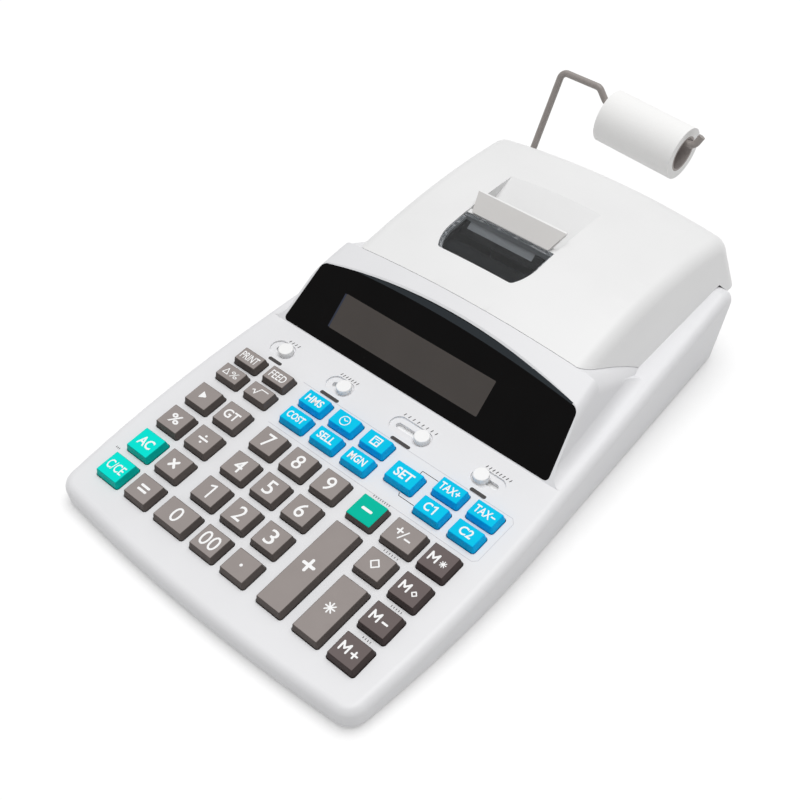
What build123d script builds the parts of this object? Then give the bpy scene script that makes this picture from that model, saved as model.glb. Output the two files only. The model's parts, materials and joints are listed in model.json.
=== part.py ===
from build123d import *
import os
from math import cos, radians, sin, sqrt, tan

# Printing desk calculator: a wedge-shaped case with a tilted key panel, a
# slanted display, a domed printer cover and a wire arm that holds a paper roll.
# Design frame, millimetres: X = 0 is the middle of the case, Y = 0 is the front
# key row, Z = 0 is the desk. The last lines move the pieces over the origin.

# Case
half_width = 96.6           # half the widest width at the desk, beside the keys
widest_y = 45.0             # where the case is widest
side_radius = 700.0         # plan radius of the flared sides
side_lean = 5.0             # degrees that the walls lean out towards the top
rear_taper = 4.6            # degrees that the sides close in behind the keys
front_y = -24.5             # front edge at the middle, at the desk
front_bow = 4.6             # how far the front edge curves back at the corners
front_corner_radius = 9.0
shoulder_rear_y = 271.0     # rear end of the shoulders beside the printer cover, at the desk
shoulder_end_radius = 10.0  # rounding of the shoulders' upper rear edge
rear_y = 283.0              # rear wall, behind the printer
rear_block_inset = 21.0     # rear block inside the widest width, each side
rear_block_corner_radius = 8.0
wall = 2.2                  # shell thickness of the mouldings
top_edge_radius = 4.5       # rounding of the case's upper edge
lip_height = 2.5            # lower lip of the upper case above the desk

# Key panel and keys
panel_tilt = 7.0            # degrees
panel_height = 15.5         # panel surface above the desk at the front key row
key_pitch = 20.0
row_pitch = 18.35
small_row_pitch = 12.8
small_row_step = 18.25      # from the upper digit row to the first row of shallow keys
function_x = -74.9          # left column of the function keys
digit_x = -29.65            # left column of the digit keys
plus_x = 33.3
memory_x = 54.95            # left column of the keys at the right
key_width = 15.4
key_depth = 14.2
small_key_depth = 10.0
wide_key_width = 17.9
zero_key_width = 19.9
set_key_width = 16.7
set_key_depth = 11.6
key_height = 4.0            # key top above the panel
key_draft = 13.0            # degrees of slope on a key's sides
key_corner_radius = 1.2
key_edge_radius = 0.5
key_land = 0.6              # upright part of a key's side above the panel
key_gap = 0.4               # between a key and its aperture
ear_width = 1.6             # how far the retaining ears stand out of a key
ear_thickness = 1.2
ear_gap = 0.1               # between the ears and the panel's underside
plunger_radius = 2.4
plunger_length = 1.4
dome_gap = 0.1              # between a plunger and its rubber dome
rubber_dome_height = 1.9
rubber_dome_radius = 3.6
rubber_dome_top_radius = 2.6
mat_thickness = 1.0
board_thickness = 1.6
board_half_width = 82.0
board_front_v = -12.0       # front edge of the key board, measured along the panel
board_behind_switches = 9.5

# Slide switches
switch_row_step = 16.4      # from the upper row of shallow keys to the switches
switch_recess_radius = 4.9
switch_recess_depth = 0.9
switch_pad = 0.8            # extra thickness under a switch recess
slot_half_width = 1.6
knob_radius = 3.9
knob_height = 3.4           # knob top above the recess floor
knob_edge_radius = 0.6
knob_gap = 0.1              # between a knob and the recess floor
stem_gap = 0.2              # between a knob's stem and the slot
slider_lap = 2.0            # how far a slider reaches past the slot that it covers
slider_half_width = 3.5
slider_thickness = 1.2
power_switch_x, power_switch_travel = -66.6, -5.0
rounding_switch_x, rounding_switch_travel = -26.4, -6.0
decimal_switch_x, decimal_switch_travel = 23.8, -14.5
rate_switch_x, rate_switch_travel = 59.2, 8.0

# Display
lens_step = 15.0            # from the switches to the lower edge of the lens
lens_tilt = 43.0            # degrees from the desk
lens_thickness = 2.0
lens_rim = 1.3              # case rim around the lens
lens_gap = 0.15
lens_corner_radius = 4.5
lens_low_corner_radius = 2.2
bezel_inset = 10.8          # display housing inside the widest width, at the lens's lower edge
bezel_taper = 4.5           # degrees that the housing's sides close in towards the rear
bezel_lean = 6.6            # degrees that the housing's sides lean in
bezel_edge_radius = 5.0
roof_edge_radius = 9.0
cove_radius = 6.5           # hollow at the foot of the housing's sides
window_left_x = -57.4
window_right_x = 38.0
window_low = 9.0            # along the lens from its lower edge
window_high = 28.0
window_backing = 1.6        # case behind the lens
module_border = 3.0
module_thickness = 5.0

# Domed top shared by the display housing and the printer cover
dome_peak_y = 245.0
dome_peak_z = 75.7
dome_profile_radius = 326.0
dome_crown_radius = 700.0

# Printer cover
seam_y = 158.4              # front edge of the cover
seam_corner_x = 70.0        # where the cover's front edge turns down its side
roof_fall = 23.7            # degrees that the seam falls along the cover's sides
cover_inset = 19.7          # cover inside the widest width, at its foot
cover_draft = 13.9          # degrees that the cover's sides lean in
cover_foot_z = 41.5         # cover's lower edge behind the shoulders
cover_skirt_gap = 0.5       # between the shoulders and the cover's rear skirt
cover_bow_radius = 700.0    # plan radius of the cover's rear edge
cover_overhang = 1.0        # cover behind the rear wall
cover_edge_radius = 8.5
cover_rear_radius = 12.0    # rounding of the cover's rear edge
cover_gap = 0.25            # open seam at the cover's front edge
bay_ledge = 10.8            # case ledge between the printer bay and the cover's foot
bay_front_y = 168.0
bay_rear_y = 274.0
printer_x = -10.5
opening_front_y = 178.0
opening_front_half_width = 23.0
opening_half_width = 27.8
opening_shoulder_y = 192.0
opening_corner_radius = 3.0
collar_depth = 4.2          # frame under the cover around the print window
print_window_thickness = 1.8
print_window_drop = 0.8     # window's face below the cover's surface
print_window_ledge = 1.6
print_window_gap = 0.1
tear_bar_y = 206.5          # foot of the tear bar
tear_bar_z = 72.0
tear_bar_tilt = 35.0        # degrees from the desk
tear_bar_length = 11.5
tear_bar_thickness = 1.6
tear_bar_gap = 0.3
tear_bar_taper = 3.5        # how much each end of the tear bar draws in at its foot
tear_rib_depth = 4.5
paper_slot_length = 10.5    # paper slot behind the tear bar's foot
recess_length = 28.0        # paper recess behind the slot, which runs out in the cover
recess_depth = 12.0

# Printer mechanism
platen_radius = 8.0
platen_half_length = 26.0
platen_y = 190.0
platen_z = 55.0
shaft_radius = 2.5
shaft_clearance = 0.05
shaft_overhang = 2.0
side_plate_thickness = 2.5
side_plate_gap = 1.0        # between the platen's end and a side plate
mechanism_front_y = 173.0
mechanism_rear_y = 228.0
mechanism_base_z = 9.0
mechanism_base_thickness = 3.0
mechanism_post_radius = 4.0
guide_low_z, guide_high_z = 61.5, 66.5
guide_behind_platen = 10.0
guide_run = 5.5
guide_thickness = 1.5
motor_radius = 11.0
motor_length = 30.0
motor_y = 212.0

# Lower case, feet and screws
base_thickness = 2.0
base_height = 1.5           # underside above the desk
case_gap = 0.1              # between the two case halves
upstand_thickness = 1.6
upstand_height = 5.0
foot_radius = 5.5
foot_gap = 0.1
foot_recess = 0.9
screw_head_radius = 2.5
screw_head_height = 1.4
screw_head_gap = 0.3
screw_radius = 1.25
screw_gap = 0.05
post_radius = 3.2
post_split_height = 8.0     # where upper and lower screw posts meet
screw_engagement = 4.0
post_inset = 9.5            # screw posts inside the case's outline
front_post_y = 9.1          # between two key rows
rear_post_y = 240.0
board_post_radius = 3.0
board_post_x = 60.0
board_post_front_v = 9.0
board_post_rear_v = 98.0

# Power inlet at the rear
inlet_x = 45.0
inlet_width = 10.0
inlet_height = 12.0
inlet_depth = 13.0
inlet_hole_radius = 3.0
inlet_pin_radius = 1.0
inlet_pin_length = 8.0
inlet_gap = 0.1

# Paper arm and roll
wire_radius = 1.9
socket_inset = 9.0          # socket inside the rear block's side
socket_z = 26.0
socket_depth = 14.0
socket_wall = 2.2
socket_gap = 0.02
arm_lean = 21.5             # degrees that the arm leans back
arm_droop = 4.5             # degrees that the roll's wire hangs down at its free end
arm_bar_droop = 0.5         # the same for the crossbar
arm_standoff = 3.4          # from the rear wall to the foot of the leg
arm_leg = 77.0
arm_bend_radius = 4.0
arm_crossbar = 25.0
arm_hold = 73.1             # height of the roll's wire, along the leg
arm_hold_run = 31.1         # from the leg to the start of the roll's wire
arm_roll_run = 56.5
arm_hook_run = 2.0
arm_hook = 6.5
roll_width = 48.0
roll_radius = 14.6
core_radius = 8.8           # inside of the cardboard core
core_thickness = 1.2
roll_hang_gap = 0.05        # between the core and the wire that it hangs on
roll_end_gap = 4.0          # from the start of the roll's wire to the roll's end

# Places that follow from the sizes above
panel = Plane(
    origin=(0, 0, panel_height),
    x_dir=(1, 0, 0),
    z_dir=(0, -sin(radians(panel_tilt)), cos(radians(panel_tilt))),
)
key_stop_n = -wall - ear_gap - ear_thickness
plunger_n = key_stop_n - plunger_length
mat_top_n = plunger_n - dome_gap - rubber_dome_height
board_top_n = mat_top_n - mat_thickness
board_low_n = board_top_n - board_thickness
base_top = base_height + base_thickness
base_inset = wall + case_gap
tall = 4 * dome_peak_z
rear_block_half_width = half_width - rear_block_inset
bezel_half_width = half_width - bezel_inset
cover_half_width = half_width - cover_inset
bay_half_width = cover_half_width - bay_ledge
rear_block_top = cover_foot_z - cover_gap
socket_x = socket_inset - rear_block_half_width
paper_slot_end_y = tear_bar_y + paper_slot_length
recess_end_y = paper_slot_end_y + recess_length
guide_low_y = platen_y + guide_behind_platen
guide_high_y = guide_low_y + guide_run
small_row_v = 3 * row_pitch + small_row_step
switch_v = small_row_v + small_row_pitch + switch_row_step
board_rear_v = switch_v + board_behind_switches
lens_v = switch_v + lens_step
digit_columns = [digit_x + key_pitch * column for column in range(3)]
function_columns = [function_x, function_x + key_pitch]
memory_columns = [memory_x, memory_x + key_pitch]
rows = [row_pitch * row for row in range(4)]
low_small_row = small_row_v
high_small_row = small_row_v + small_row_pitch
two_rows_depth = row_pitch + key_depth
three_rows_depth = 2 * row_pitch + key_depth

# Keys: name, column centre, row centre, width and depth at the panel
keys = [
    ("key_print", function_columns[0], high_small_row, key_width, small_key_depth),
    ("key_feed", function_columns[1], high_small_row, key_width, small_key_depth),
    ("key_percent_change", function_columns[0], low_small_row, key_width, small_key_depth),
    ("key_root", function_columns[1], low_small_row, key_width, small_key_depth),
    ("key_arrow", function_columns[0], rows[3], key_width, key_depth),
    ("key_grand_total", function_columns[1], rows[3], key_width, key_depth),
    ("key_percent", function_columns[0], rows[2], key_width, key_depth),
    ("key_divide", function_columns[1], rows[2], key_width, key_depth),
    ("key_all_clear", function_columns[0], rows[1], key_width, key_depth),
    ("key_multiply", function_columns[1], rows[1], key_width, key_depth),
    ("key_clear_entry", function_columns[0], rows[0], key_width, key_depth),
    ("key_equals", function_columns[1], rows[0], key_width, key_depth),
    ("key_time", digit_columns[0], high_small_row, key_width, small_key_depth),
    ("key_clock", digit_columns[1], high_small_row, key_width, small_key_depth),
    ("key_calendar", digit_columns[2], high_small_row, key_width, small_key_depth),
    ("key_cost", digit_columns[0], low_small_row, key_width, small_key_depth),
    ("key_sell", digit_columns[1], low_small_row, key_width, small_key_depth),
    ("key_margin", digit_columns[2], low_small_row, key_width, small_key_depth),
    ("key_00", digit_columns[1], rows[0], key_width, key_depth),
    ("key_point", digit_columns[2], rows[0], key_width, key_depth),
    ("key_set", plus_x, (low_small_row + high_small_row) / 2, set_key_width, set_key_depth),
    ("key_minus", plus_x, rows[3], key_width, key_depth),
    ("key_plus", plus_x, rows[1], key_width, three_rows_depth),
    ("key_tax_plus", memory_columns[0], high_small_row, key_width, small_key_depth),
    ("key_tax_minus", memory_columns[1], high_small_row, key_width, small_key_depth),
    ("key_rate_1", memory_columns[0], low_small_row, key_width, small_key_depth),
    ("key_rate_2", memory_columns[1], low_small_row, key_width, small_key_depth),
    ("key_sign", memory_columns[0], rows[3], wide_key_width, key_depth),
    ("key_subtotal", memory_columns[0], rows[2], key_width, key_depth),
    ("key_total", memory_columns[0], (rows[0] + rows[1]) / 2, key_width, two_rows_depth),
    ("key_memory_total", memory_columns[1], rows[3], key_width, key_depth),
    ("key_memory_subtotal", memory_columns[1], rows[2], key_width, key_depth),
    ("key_memory_minus", memory_columns[1], rows[1], key_width, key_depth),
    ("key_memory_plus", memory_columns[1], rows[0], key_width, key_depth),
]
zero_x = digit_x + key_width / 2 - zero_key_width / 2
keys.append(("key_0", zero_x, rows[0], zero_key_width, key_depth))
for digit in range(1, 10):
    column = digit_columns[(digit - 1) % 3]
    keys.append((f"key_{digit}", column, rows[1 + (digit - 1) // 3], key_width, key_depth))

switches = [
    ("power_switch_knob", power_switch_x, power_switch_travel),
    ("rounding_switch_knob", rounding_switch_x, rounding_switch_travel),
    ("decimal_switch_knob", decimal_switch_x, decimal_switch_travel),
    ("rate_switch_knob", rate_switch_x, rate_switch_travel),
]


def on_panel(x, v, n, shape):
    """Put a shape on the key panel: x across, v along and n above its surface."""
    return panel.location * Pos(x, v, n) * shape


def panel_z(y):
    """Height of the key panel's plane above a given Y."""
    return panel_height + y * tan(radians(panel_tilt))


def below_panel(solid, drop):
    """The part of a solid that lies under the panel plane, lowered by drop."""
    return split(solid, bisect_by=panel.offset(-drop), keep=Keep.BOTTOM)


def above_plane(solid, plane):
    """The part of a solid that lies on the upper side of a plane."""
    return split(solid, bisect_by=plane, keep=Keep.TOP)


def prism_across(profile, x_from, x_to):
    """Prism along X of a polygon given as (Y, Z) points."""
    face = make_face(Polyline(*[(x_from, y, z) for y, z in profile], close=True))
    return extrude(face, amount=x_to - x_from, dir=(1, 0, 0))


def column_up(face, low, high):
    """Prism of a plan outline between two heights."""
    return Pos(0, 0, low) * extrude(face, amount=high - low, dir=(0, 0, 1))


def side_x(y):
    """Half width of the case at a given Y, along the flared and tapered side."""
    taper = radians(rear_taper)
    flare_y = min(y, widest_y + side_radius * sin(taper))
    flare_x = half_width - side_radius + sqrt(side_radius**2 - (flare_y - widest_y) ** 2)
    return flare_x - (y - flare_y) * tan(taper)


post_places = [
    (side * (side_x(y) - post_inset), y)
    for y in (front_post_y, rear_post_y)
    for side in (-1, 1)
]


def case_outline(inset):
    """Plan of the case: bowed front, flared sides, tapered shoulders."""
    taper = radians(rear_taper)
    side_centre_x, flare = half_width - side_radius, side_radius - inset
    chord = side_x(front_y + front_bow)
    front_radius = (chord**2 + front_bow**2) / (2 * front_bow)
    corner_x, corner_y = chord, front_y + front_bow
    for _ in range(20):
        corner_x = side_centre_x + sqrt(flare**2 - (corner_y - widest_y) ** 2)
        corner_y = front_y + front_radius - sqrt((front_radius - inset) ** 2 - corner_x**2)
    taper_x, taper_y = side_centre_x + flare * cos(taper), widest_y + flare * sin(taper)
    end_y = shoulder_rear_y - inset
    end_x = taper_x - (end_y - taper_y) * tan(taper)
    widest_x = half_width - inset
    front = ThreePointArc((-corner_x, corner_y), (0, front_y + inset), (corner_x, corner_y))
    right = ThreePointArc((corner_x, corner_y), (widest_x, widest_y), (taper_x, taper_y))
    rear = Polyline((taper_x, taper_y), (end_x, end_y), (-end_x, end_y), (-taper_x, taper_y))
    left = ThreePointArc((-taper_x, taper_y), (-widest_x, widest_y), (-corner_x, corner_y))
    face = make_face([front, right, rear, left])
    return fillet(face.vertices().sort_by(Axis.Y)[:2], front_corner_radius - inset)


def case_column(inset, low):
    """Block inside the case's walls, which lean out from the outline at the desk."""
    column = extrude(case_outline(inset), amount=dome_peak_z, taper=-side_lean)
    return split(column, bisect_by=Plane.XY.offset(low), keep=Keep.TOP)


def case_body(inset, low):
    """Block under the panel, with the shoulders' upper rear edge rounded."""
    body = below_panel(case_column(inset, low), inset)
    rear_edge = body.edges().filter_by(
        lambda edge: edge.center().Y > shoulder_rear_y - inset and edge.center().Z > panel_z(0)
        and abs((edge @ 1 - edge @ 0).X) > half_width
    )
    return fillet(rear_edge, shoulder_end_radius - inset)


def rear_block_outline(inset):
    """Plan of the part of the case under the cover's rear, behind the shoulders."""
    length = rear_y - bay_front_y
    width = 2 * rear_block_half_width
    rectangle = RectangleRounded(width - 2 * inset, length - 2 * inset, rear_block_corner_radius)
    return Pos(0, rear_y - length / 2) * rectangle


def dome_solid(inset):
    """Doubly curved top: an arch across the case, swept round the dome's profile."""
    crown = dome_crown_radius - inset
    reach = 1.6 * half_width
    top = dome_peak_z - inset
    edge = top - crown + sqrt(crown**2 - reach**2)
    arch = ThreePointArc((-reach, 0, edge), (0, 0, top), (reach, 0, edge))
    frame = Polyline((reach, 0, edge), (reach, 0, -tall / 2), (-reach, 0, -tall / 2), (-reach, 0, edge))
    face = Pos(0, dome_peak_y, 0) * make_face([arch, frame])
    axis = Axis((0, dome_peak_y, dome_peak_z - dome_profile_radius), (1, 0, 0))
    forward_angle, rearward_angle = 50.0, 20.0
    face = face.rotate(axis, forward_angle)
    return revolve(face, axis=axis, revolution_arc=-forward_angle - rearward_angle)


def dome_z(x, y):
    """Height of the domed top over a point."""
    profile_z = dome_profile_radius - sqrt(dome_profile_radius**2 - (dome_peak_y - y) ** 2)
    return dome_peak_z - profile_z - x**2 / (2 * dome_crown_radius)


def cover_sides(inset):
    """Block between the cover's two side planes, which lean in above the panel."""
    lean = tan(radians(cover_draft))
    half = cover_half_width - inset / cos(radians(cover_draft))
    low_x = half + tall * lean / 4
    high_x = half - tall * lean / 2
    low_z, high_z = -tall / 4, tall / 2
    section = Polyline(
        (-low_x, 0, low_z), (low_x, 0, low_z), (high_x, 0, high_z), (-high_x, 0, high_z), close=True
    )
    block = extrude(make_face(section), amount=2 * rear_y, dir=panel.y_dir)
    return Pos(0, 0, panel_height) * block


lens_foot = panel.from_local_coords((0, lens_v, 0))
lens_plane = Plane(
    origin=lens_foot,
    x_dir=(1, 0, 0),
    z_dir=(0, -sin(radians(lens_tilt)), cos(radians(lens_tilt))),
)
roof_z = dome_z(seam_corner_x, seam_y)
roof_plane = Plane(
    origin=(0, seam_y, roof_z),
    x_dir=(1, 0, 0),
    z_dir=(0, sin(radians(roof_fall)), cos(radians(roof_fall))),
)
roof_slope = tan(radians(roof_fall)) + tan(radians(panel_tilt))
roof_end_y = seam_y + (roof_z - panel_z(seam_y)) / roof_slope

# Middle of the rounding at the shoulders' rear end, which the cover's rear skirt has to clear
shoulder_end_y = shoulder_rear_y + panel_z(shoulder_rear_y) * tan(radians(side_lean))
crest_angle = radians(90 - panel_tilt - side_lean)
crest_setback = shoulder_end_radius / sin(crest_angle / 2) * cos(radians(45))
crest_y, crest_z = shoulder_end_y - crest_setback, panel_z(shoulder_end_y) - crest_setback
skirt_reach = shoulder_end_radius + cover_skirt_gap
skirt_plane = Plane(origin=(0, crest_y, crest_z), z_dir=(0, 1, 0)).offset(skirt_reach)
skirt_bevel = Plane(origin=(0, crest_y, crest_z), z_dir=(0, 1, 1)).offset(skirt_reach)


def between_bezel_sides(block, inset):
    """The part of a block between the display housing's two side planes."""
    slopes = tan(radians(bezel_taper)), tan(radians(bezel_lean))
    for side in (-1, 1):
        plane = Plane(origin=(side * bezel_half_width, lens_foot.Y, lens_foot.Z), z_dir=(side, *slopes))
        block = split(block, bisect_by=plane.offset(-inset), keep=Keep.BOTTOM)
    return block


def lens_reach(x):
    """Distance along the lens plane, from its foot to the domed top, at a given X."""
    reach = 0.0
    for _ in range(40):
        y = lens_foot.Y + reach * cos(radians(lens_tilt))
        z = lens_foot.Z + reach * sin(radians(lens_tilt))
        reach = reach + 0.7 * (dome_z(x, y) - z)
    return reach


def lens_outline(inset):
    """Lens outline in its own plane: straight foot, leaning sides, arched top."""
    margin = lens_rim + inset
    lean = sin(radians(lens_tilt)) * tan(radians(bezel_lean))
    lean += cos(radians(lens_tilt)) * tan(radians(bezel_taper))
    low = margin / 2
    low_x = bezel_half_width - margin - lean * low
    corner_x = low_x
    for _ in range(20):
        corner = lens_reach(corner_x) - margin
        corner_x = bezel_half_width - margin - lean * corner
    corner = lens_reach(corner_x) - margin
    top = lens_reach(0) - margin
    sides = Polyline((-corner_x, corner), (-low_x, low), (low_x, low), (corner_x, corner))
    arch = ThreePointArc((corner_x, corner), (0, top), (-corner_x, corner))
    face = make_face([sides, arch])
    face = fillet(face.vertices().sort_by(Axis.Y)[:2], lens_low_corner_radius)
    return fillet(face.vertices().sort_by(Axis.Y)[-2:], lens_corner_radius)


def long_edges(block, above_z):
    """Edges along both sides of a block, over a given height."""
    return block.edges().filter_by(
        lambda edge: abs(edge.center().X) > bezel_half_width / 2
        and abs((edge @ 1 - edge @ 0).Y) > 2 * bezel_edge_radius
        and edge.center().Z > above_z
    )


def display_block(inset, face_drop):
    """Raised display housing: a hood behind the lens, and a roof that falls to the shoulders."""
    low, high, step_y = panel_height, 2 * dome_peak_z, seam_y - inset
    front = lens_foot.Y - wall
    hood = prism_across([(front, low), (front, high), (step_y, high), (step_y, low)], -tall, tall)
    hood = between_bezel_sides(hood, inset) & dome_solid(inset)
    hood = fillet(long_edges(hood, lens_foot.Z + wall), bezel_edge_radius - inset / 2)
    hood = split(hood, bisect_by=lens_plane.offset(-face_drop), keep=Keep.BOTTOM)
    roof = prism_across([(step_y, low), (step_y, high), (roof_end_y, high), (roof_end_y, low)], -tall, tall)
    roof = split(roof, bisect_by=roof_plane.offset(-inset), keep=Keep.BOTTOM)
    roof = between_bezel_sides(roof, inset)
    roof = fillet(long_edges(roof, lens_foot.Z), roof_edge_radius - inset) & dome_solid(inset)
    return above_plane(hood + roof, panel.offset(-3 * wall))


def cheek_cove(side):
    """Hollow fillet between the panel and one side of the display housing."""
    side_normal = Vector(side, tan(radians(bezel_taper)), tan(radians(bezel_lean)))
    foot = panel.z_dir.cross(side_normal).normalized() * side
    outward = foot.cross(panel.z_dir) * side
    section = Plane(origin=(side * bezel_half_width, lens_foot.Y, lens_foot.Z), x_dir=outward, z_dir=foot)
    up = -side
    lean = radians(bezel_lean)
    reach = cove_radius * tan((radians(90) - lean) / 2)
    top_x, top_y = -reach * sin(lean), up * reach * cos(lean)
    nearness = 1 - cove_radius / sqrt(reach**2 + cove_radius**2)
    hollow = ThreePointArc((reach, 0), (reach * nearness, up * cove_radius * nearness), (top_x, top_y))
    low_y = -up * wall / 2
    rest = Polyline((top_x, top_y), (-wall, top_y), (-wall, low_y), (reach, low_y), (reach, 0))
    cove = extrude(section.location * make_face([hollow, rest]), amount=rear_y, dir=foot)
    cove = split(cove, bisect_by=roof_plane.offset(-0.6 * roof_edge_radius), keep=Keep.BOTTOM)
    return split(cove, bisect_by=lens_plane, keep=Keep.BOTTOM)


def cover_block(inset):
    """Printer cover's solid: domed top, bowed rear, leaning sides, rounded edges."""
    low, high, front, rear = panel_z(0), 2 * dome_peak_z, seam_y - wall, rear_y + 20 * wall
    block = prism_across([(front, low), (front, high), (rear, high), (rear, low)], -tall, tall)
    bow_y = rear_y + cover_overhang - cover_bow_radius
    lean = tall * tan(radians(cover_draft))
    bow = Cone(cover_bow_radius - inset + lean, cover_bow_radius - inset - lean, 2 * tall)
    block = block & (Pos(0, bow_y, dome_peak_z - cover_rear_radius) * bow) & dome_solid(inset)
    rear_edge = block.edges().filter_by(
        lambda edge: edge.center().Z > panel_z(rear_y)
        and edge.center().Y > rear_y - 3 * wall
        and edge.length > tall / 4
    )
    block = fillet(rear_edge, cover_rear_radius - inset) & cover_sides(inset)
    creases = block.edges().filter_by(
        lambda edge: abs(edge.center().X) > cover_half_width / 2
        and edge.center().Z > low + wall
        and edge.center().Y > seam_y + wall
    )
    return fillet(creases, cover_edge_radius - inset)


def opening_outline(inset, rear_edge_y):
    """Plan of the cover's printer opening: narrow front, curved to a wider rear."""
    front_x = opening_front_half_width - inset
    rear_x = opening_half_width - inset
    front_edge_y = opening_front_y + inset
    bulge_x = front_x + 0.7 * (rear_x - front_x)
    bulge_y = front_edge_y + 0.45 * (opening_shoulder_y - front_edge_y)
    front = Line((-front_x, front_edge_y), (front_x, front_edge_y))
    right = ThreePointArc((front_x, front_edge_y), (bulge_x, bulge_y), (rear_x, opening_shoulder_y))
    rear = Polyline(
        (rear_x, opening_shoulder_y),
        (rear_x, rear_edge_y),
        (-rear_x, rear_edge_y),
        (-rear_x, opening_shoulder_y),
    )
    left = ThreePointArc((-rear_x, opening_shoulder_y), (-bulge_x, bulge_y), (-front_x, front_edge_y))
    face = make_face([front, right, rear, left])
    face = fillet(face.vertices().sort_by(Axis.Y)[:2], opening_corner_radius)
    return Pos(printer_x, 0, 0) * face


def together(*shapes):
    """One node made of several separate solids."""
    return Compound([solid for shape in shapes for solid in shape.solids()])


def stadium(x_from, x_to, radius):
    """Slot-shaped plan between two X positions, round at both ends."""
    length = abs(x_to - x_from)
    return Pos((x_from + x_to) / 2, 0) * SlotOverall(length + 2 * radius, 2 * radius)


arm_ex = Vector(cos(radians(arm_droop)), 0, -sin(radians(arm_droop)))
arm_up = Vector(
    sin(radians(arm_droop)) * cos(radians(arm_lean)),
    sin(radians(arm_lean)),
    cos(radians(arm_droop)) * cos(radians(arm_lean)),
)
arm_foot = Vector(socket_x, rear_y + arm_standoff, socket_z)
roll_start = arm_foot + arm_up * arm_hold + arm_ex * (arm_hold_run + roll_end_gap)
roll_down = Vector(-sin(radians(arm_droop)), 0, -cos(radians(arm_droop)))
roll_axis_start = roll_start + roll_down * (core_radius - wire_radius - roll_hang_gap)
roll_plane = Plane(origin=roll_axis_start, x_dir=(0, 1, 0), z_dir=arm_ex)


def make_upper_case():
    """Upper case: key panel, shoulders, display housing, printer bay and posts."""
    body = case_body(0, lip_height)
    corner_y = shoulder_rear_y - shoulder_end_radius
    creases = body.edges().filter_by(
        lambda edge: edge.center().Z > lip_height + wall
        and (abs(edge.center().X) > rear_block_half_width or edge.center().Y < 0)
        and (edge.center().Y > corner_y or edge.center().Z > panel_z(edge.center().Y) - wall)
    )
    body = fillet(creases, top_edge_radius)
    body += below_panel(column_up(rear_block_outline(0), lip_height, rear_block_top), 0)
    body += [display_block(0, 0), cheek_cove(-1), cheek_cove(1)]
    body -= case_body(wall, 0)
    body -= below_panel(column_up(rear_block_outline(wall), -tall, rear_block_top - wall), wall)
    body -= display_block(wall, lens_thickness + window_backing)
    bay_length = bay_rear_y - bay_front_y
    bay = Box(2 * bay_half_width, bay_length, tall, align=(Align.CENTER, Align.MIN, Align.MIN))
    body -= Pos(0, bay_front_y, panel_z(bay_front_y) - 3 * wall) * bay
    lens_recess = extrude(lens_outline(0), amount=3 * lens_thickness)
    body -= lens_plane.location * Pos(0, 0, -lens_thickness) * lens_recess
    window_width = window_right_x - window_left_x
    window = Box(window_width, window_high - window_low, 8 * wall)
    window_middle = (window_left_x + window_right_x) / 2
    body -= lens_plane.location * Pos(window_middle, (window_low + window_high) / 2, 0) * window
    apertures = []
    for _, x, v, width, depth in keys:
        hole = RectangleRounded(width + 2 * key_gap, depth + 2 * key_gap, key_corner_radius + key_gap)
        apertures.append(on_panel(x, v, -2 * wall, extrude(hole, amount=4 * wall)))
    body -= apertures
    for _, x, travel in switches:
        pad = extrude(stadium(x, x + travel, switch_recess_radius + wall), amount=wall + switch_pad)
        body += on_panel(0, switch_v, -wall - switch_pad, pad)
        recess = extrude(stadium(x, x + travel, switch_recess_radius), amount=tall)
        body -= on_panel(0, switch_v, -switch_recess_depth, recess)
        slot = extrude(stadium(x, x + travel, slot_half_width), amount=4 * wall)
        body -= on_panel(0, switch_v, -3 * wall, slot)
    for x, y in post_places:
        post = column_up(Pos(x, y) * Circle(post_radius), post_split_height, tall)
        pilot_top = post_split_height + screw_engagement
        pilot = column_up(Pos(x, y) * Circle(screw_radius + screw_gap), 0, pilot_top)
        body += below_panel(post, wall / 2)
        body -= pilot
    boss_radius = wire_radius + socket_gap + socket_wall
    from_rear = (Align.CENTER, Align.CENTER, Align.MIN)
    boss = Cylinder(boss_radius, socket_depth + wall, rotation=(90, 0, 0), align=from_rear)
    hole = Cylinder(wire_radius + socket_gap, 2 * socket_depth, rotation=(90, 0, 0))
    body += Pos(socket_x, rear_y, socket_z) * boss
    body -= Pos(socket_x, rear_y, socket_z) * hole
    inlet_z = base_top + board_thickness + inlet_height / 2
    inlet_hole = Cylinder(inlet_hole_radius + wall / 2, 4 * wall, rotation=(90, 0, 0))
    body -= Pos(inlet_x, rear_y, inlet_z) * inlet_hole
    return body


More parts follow.
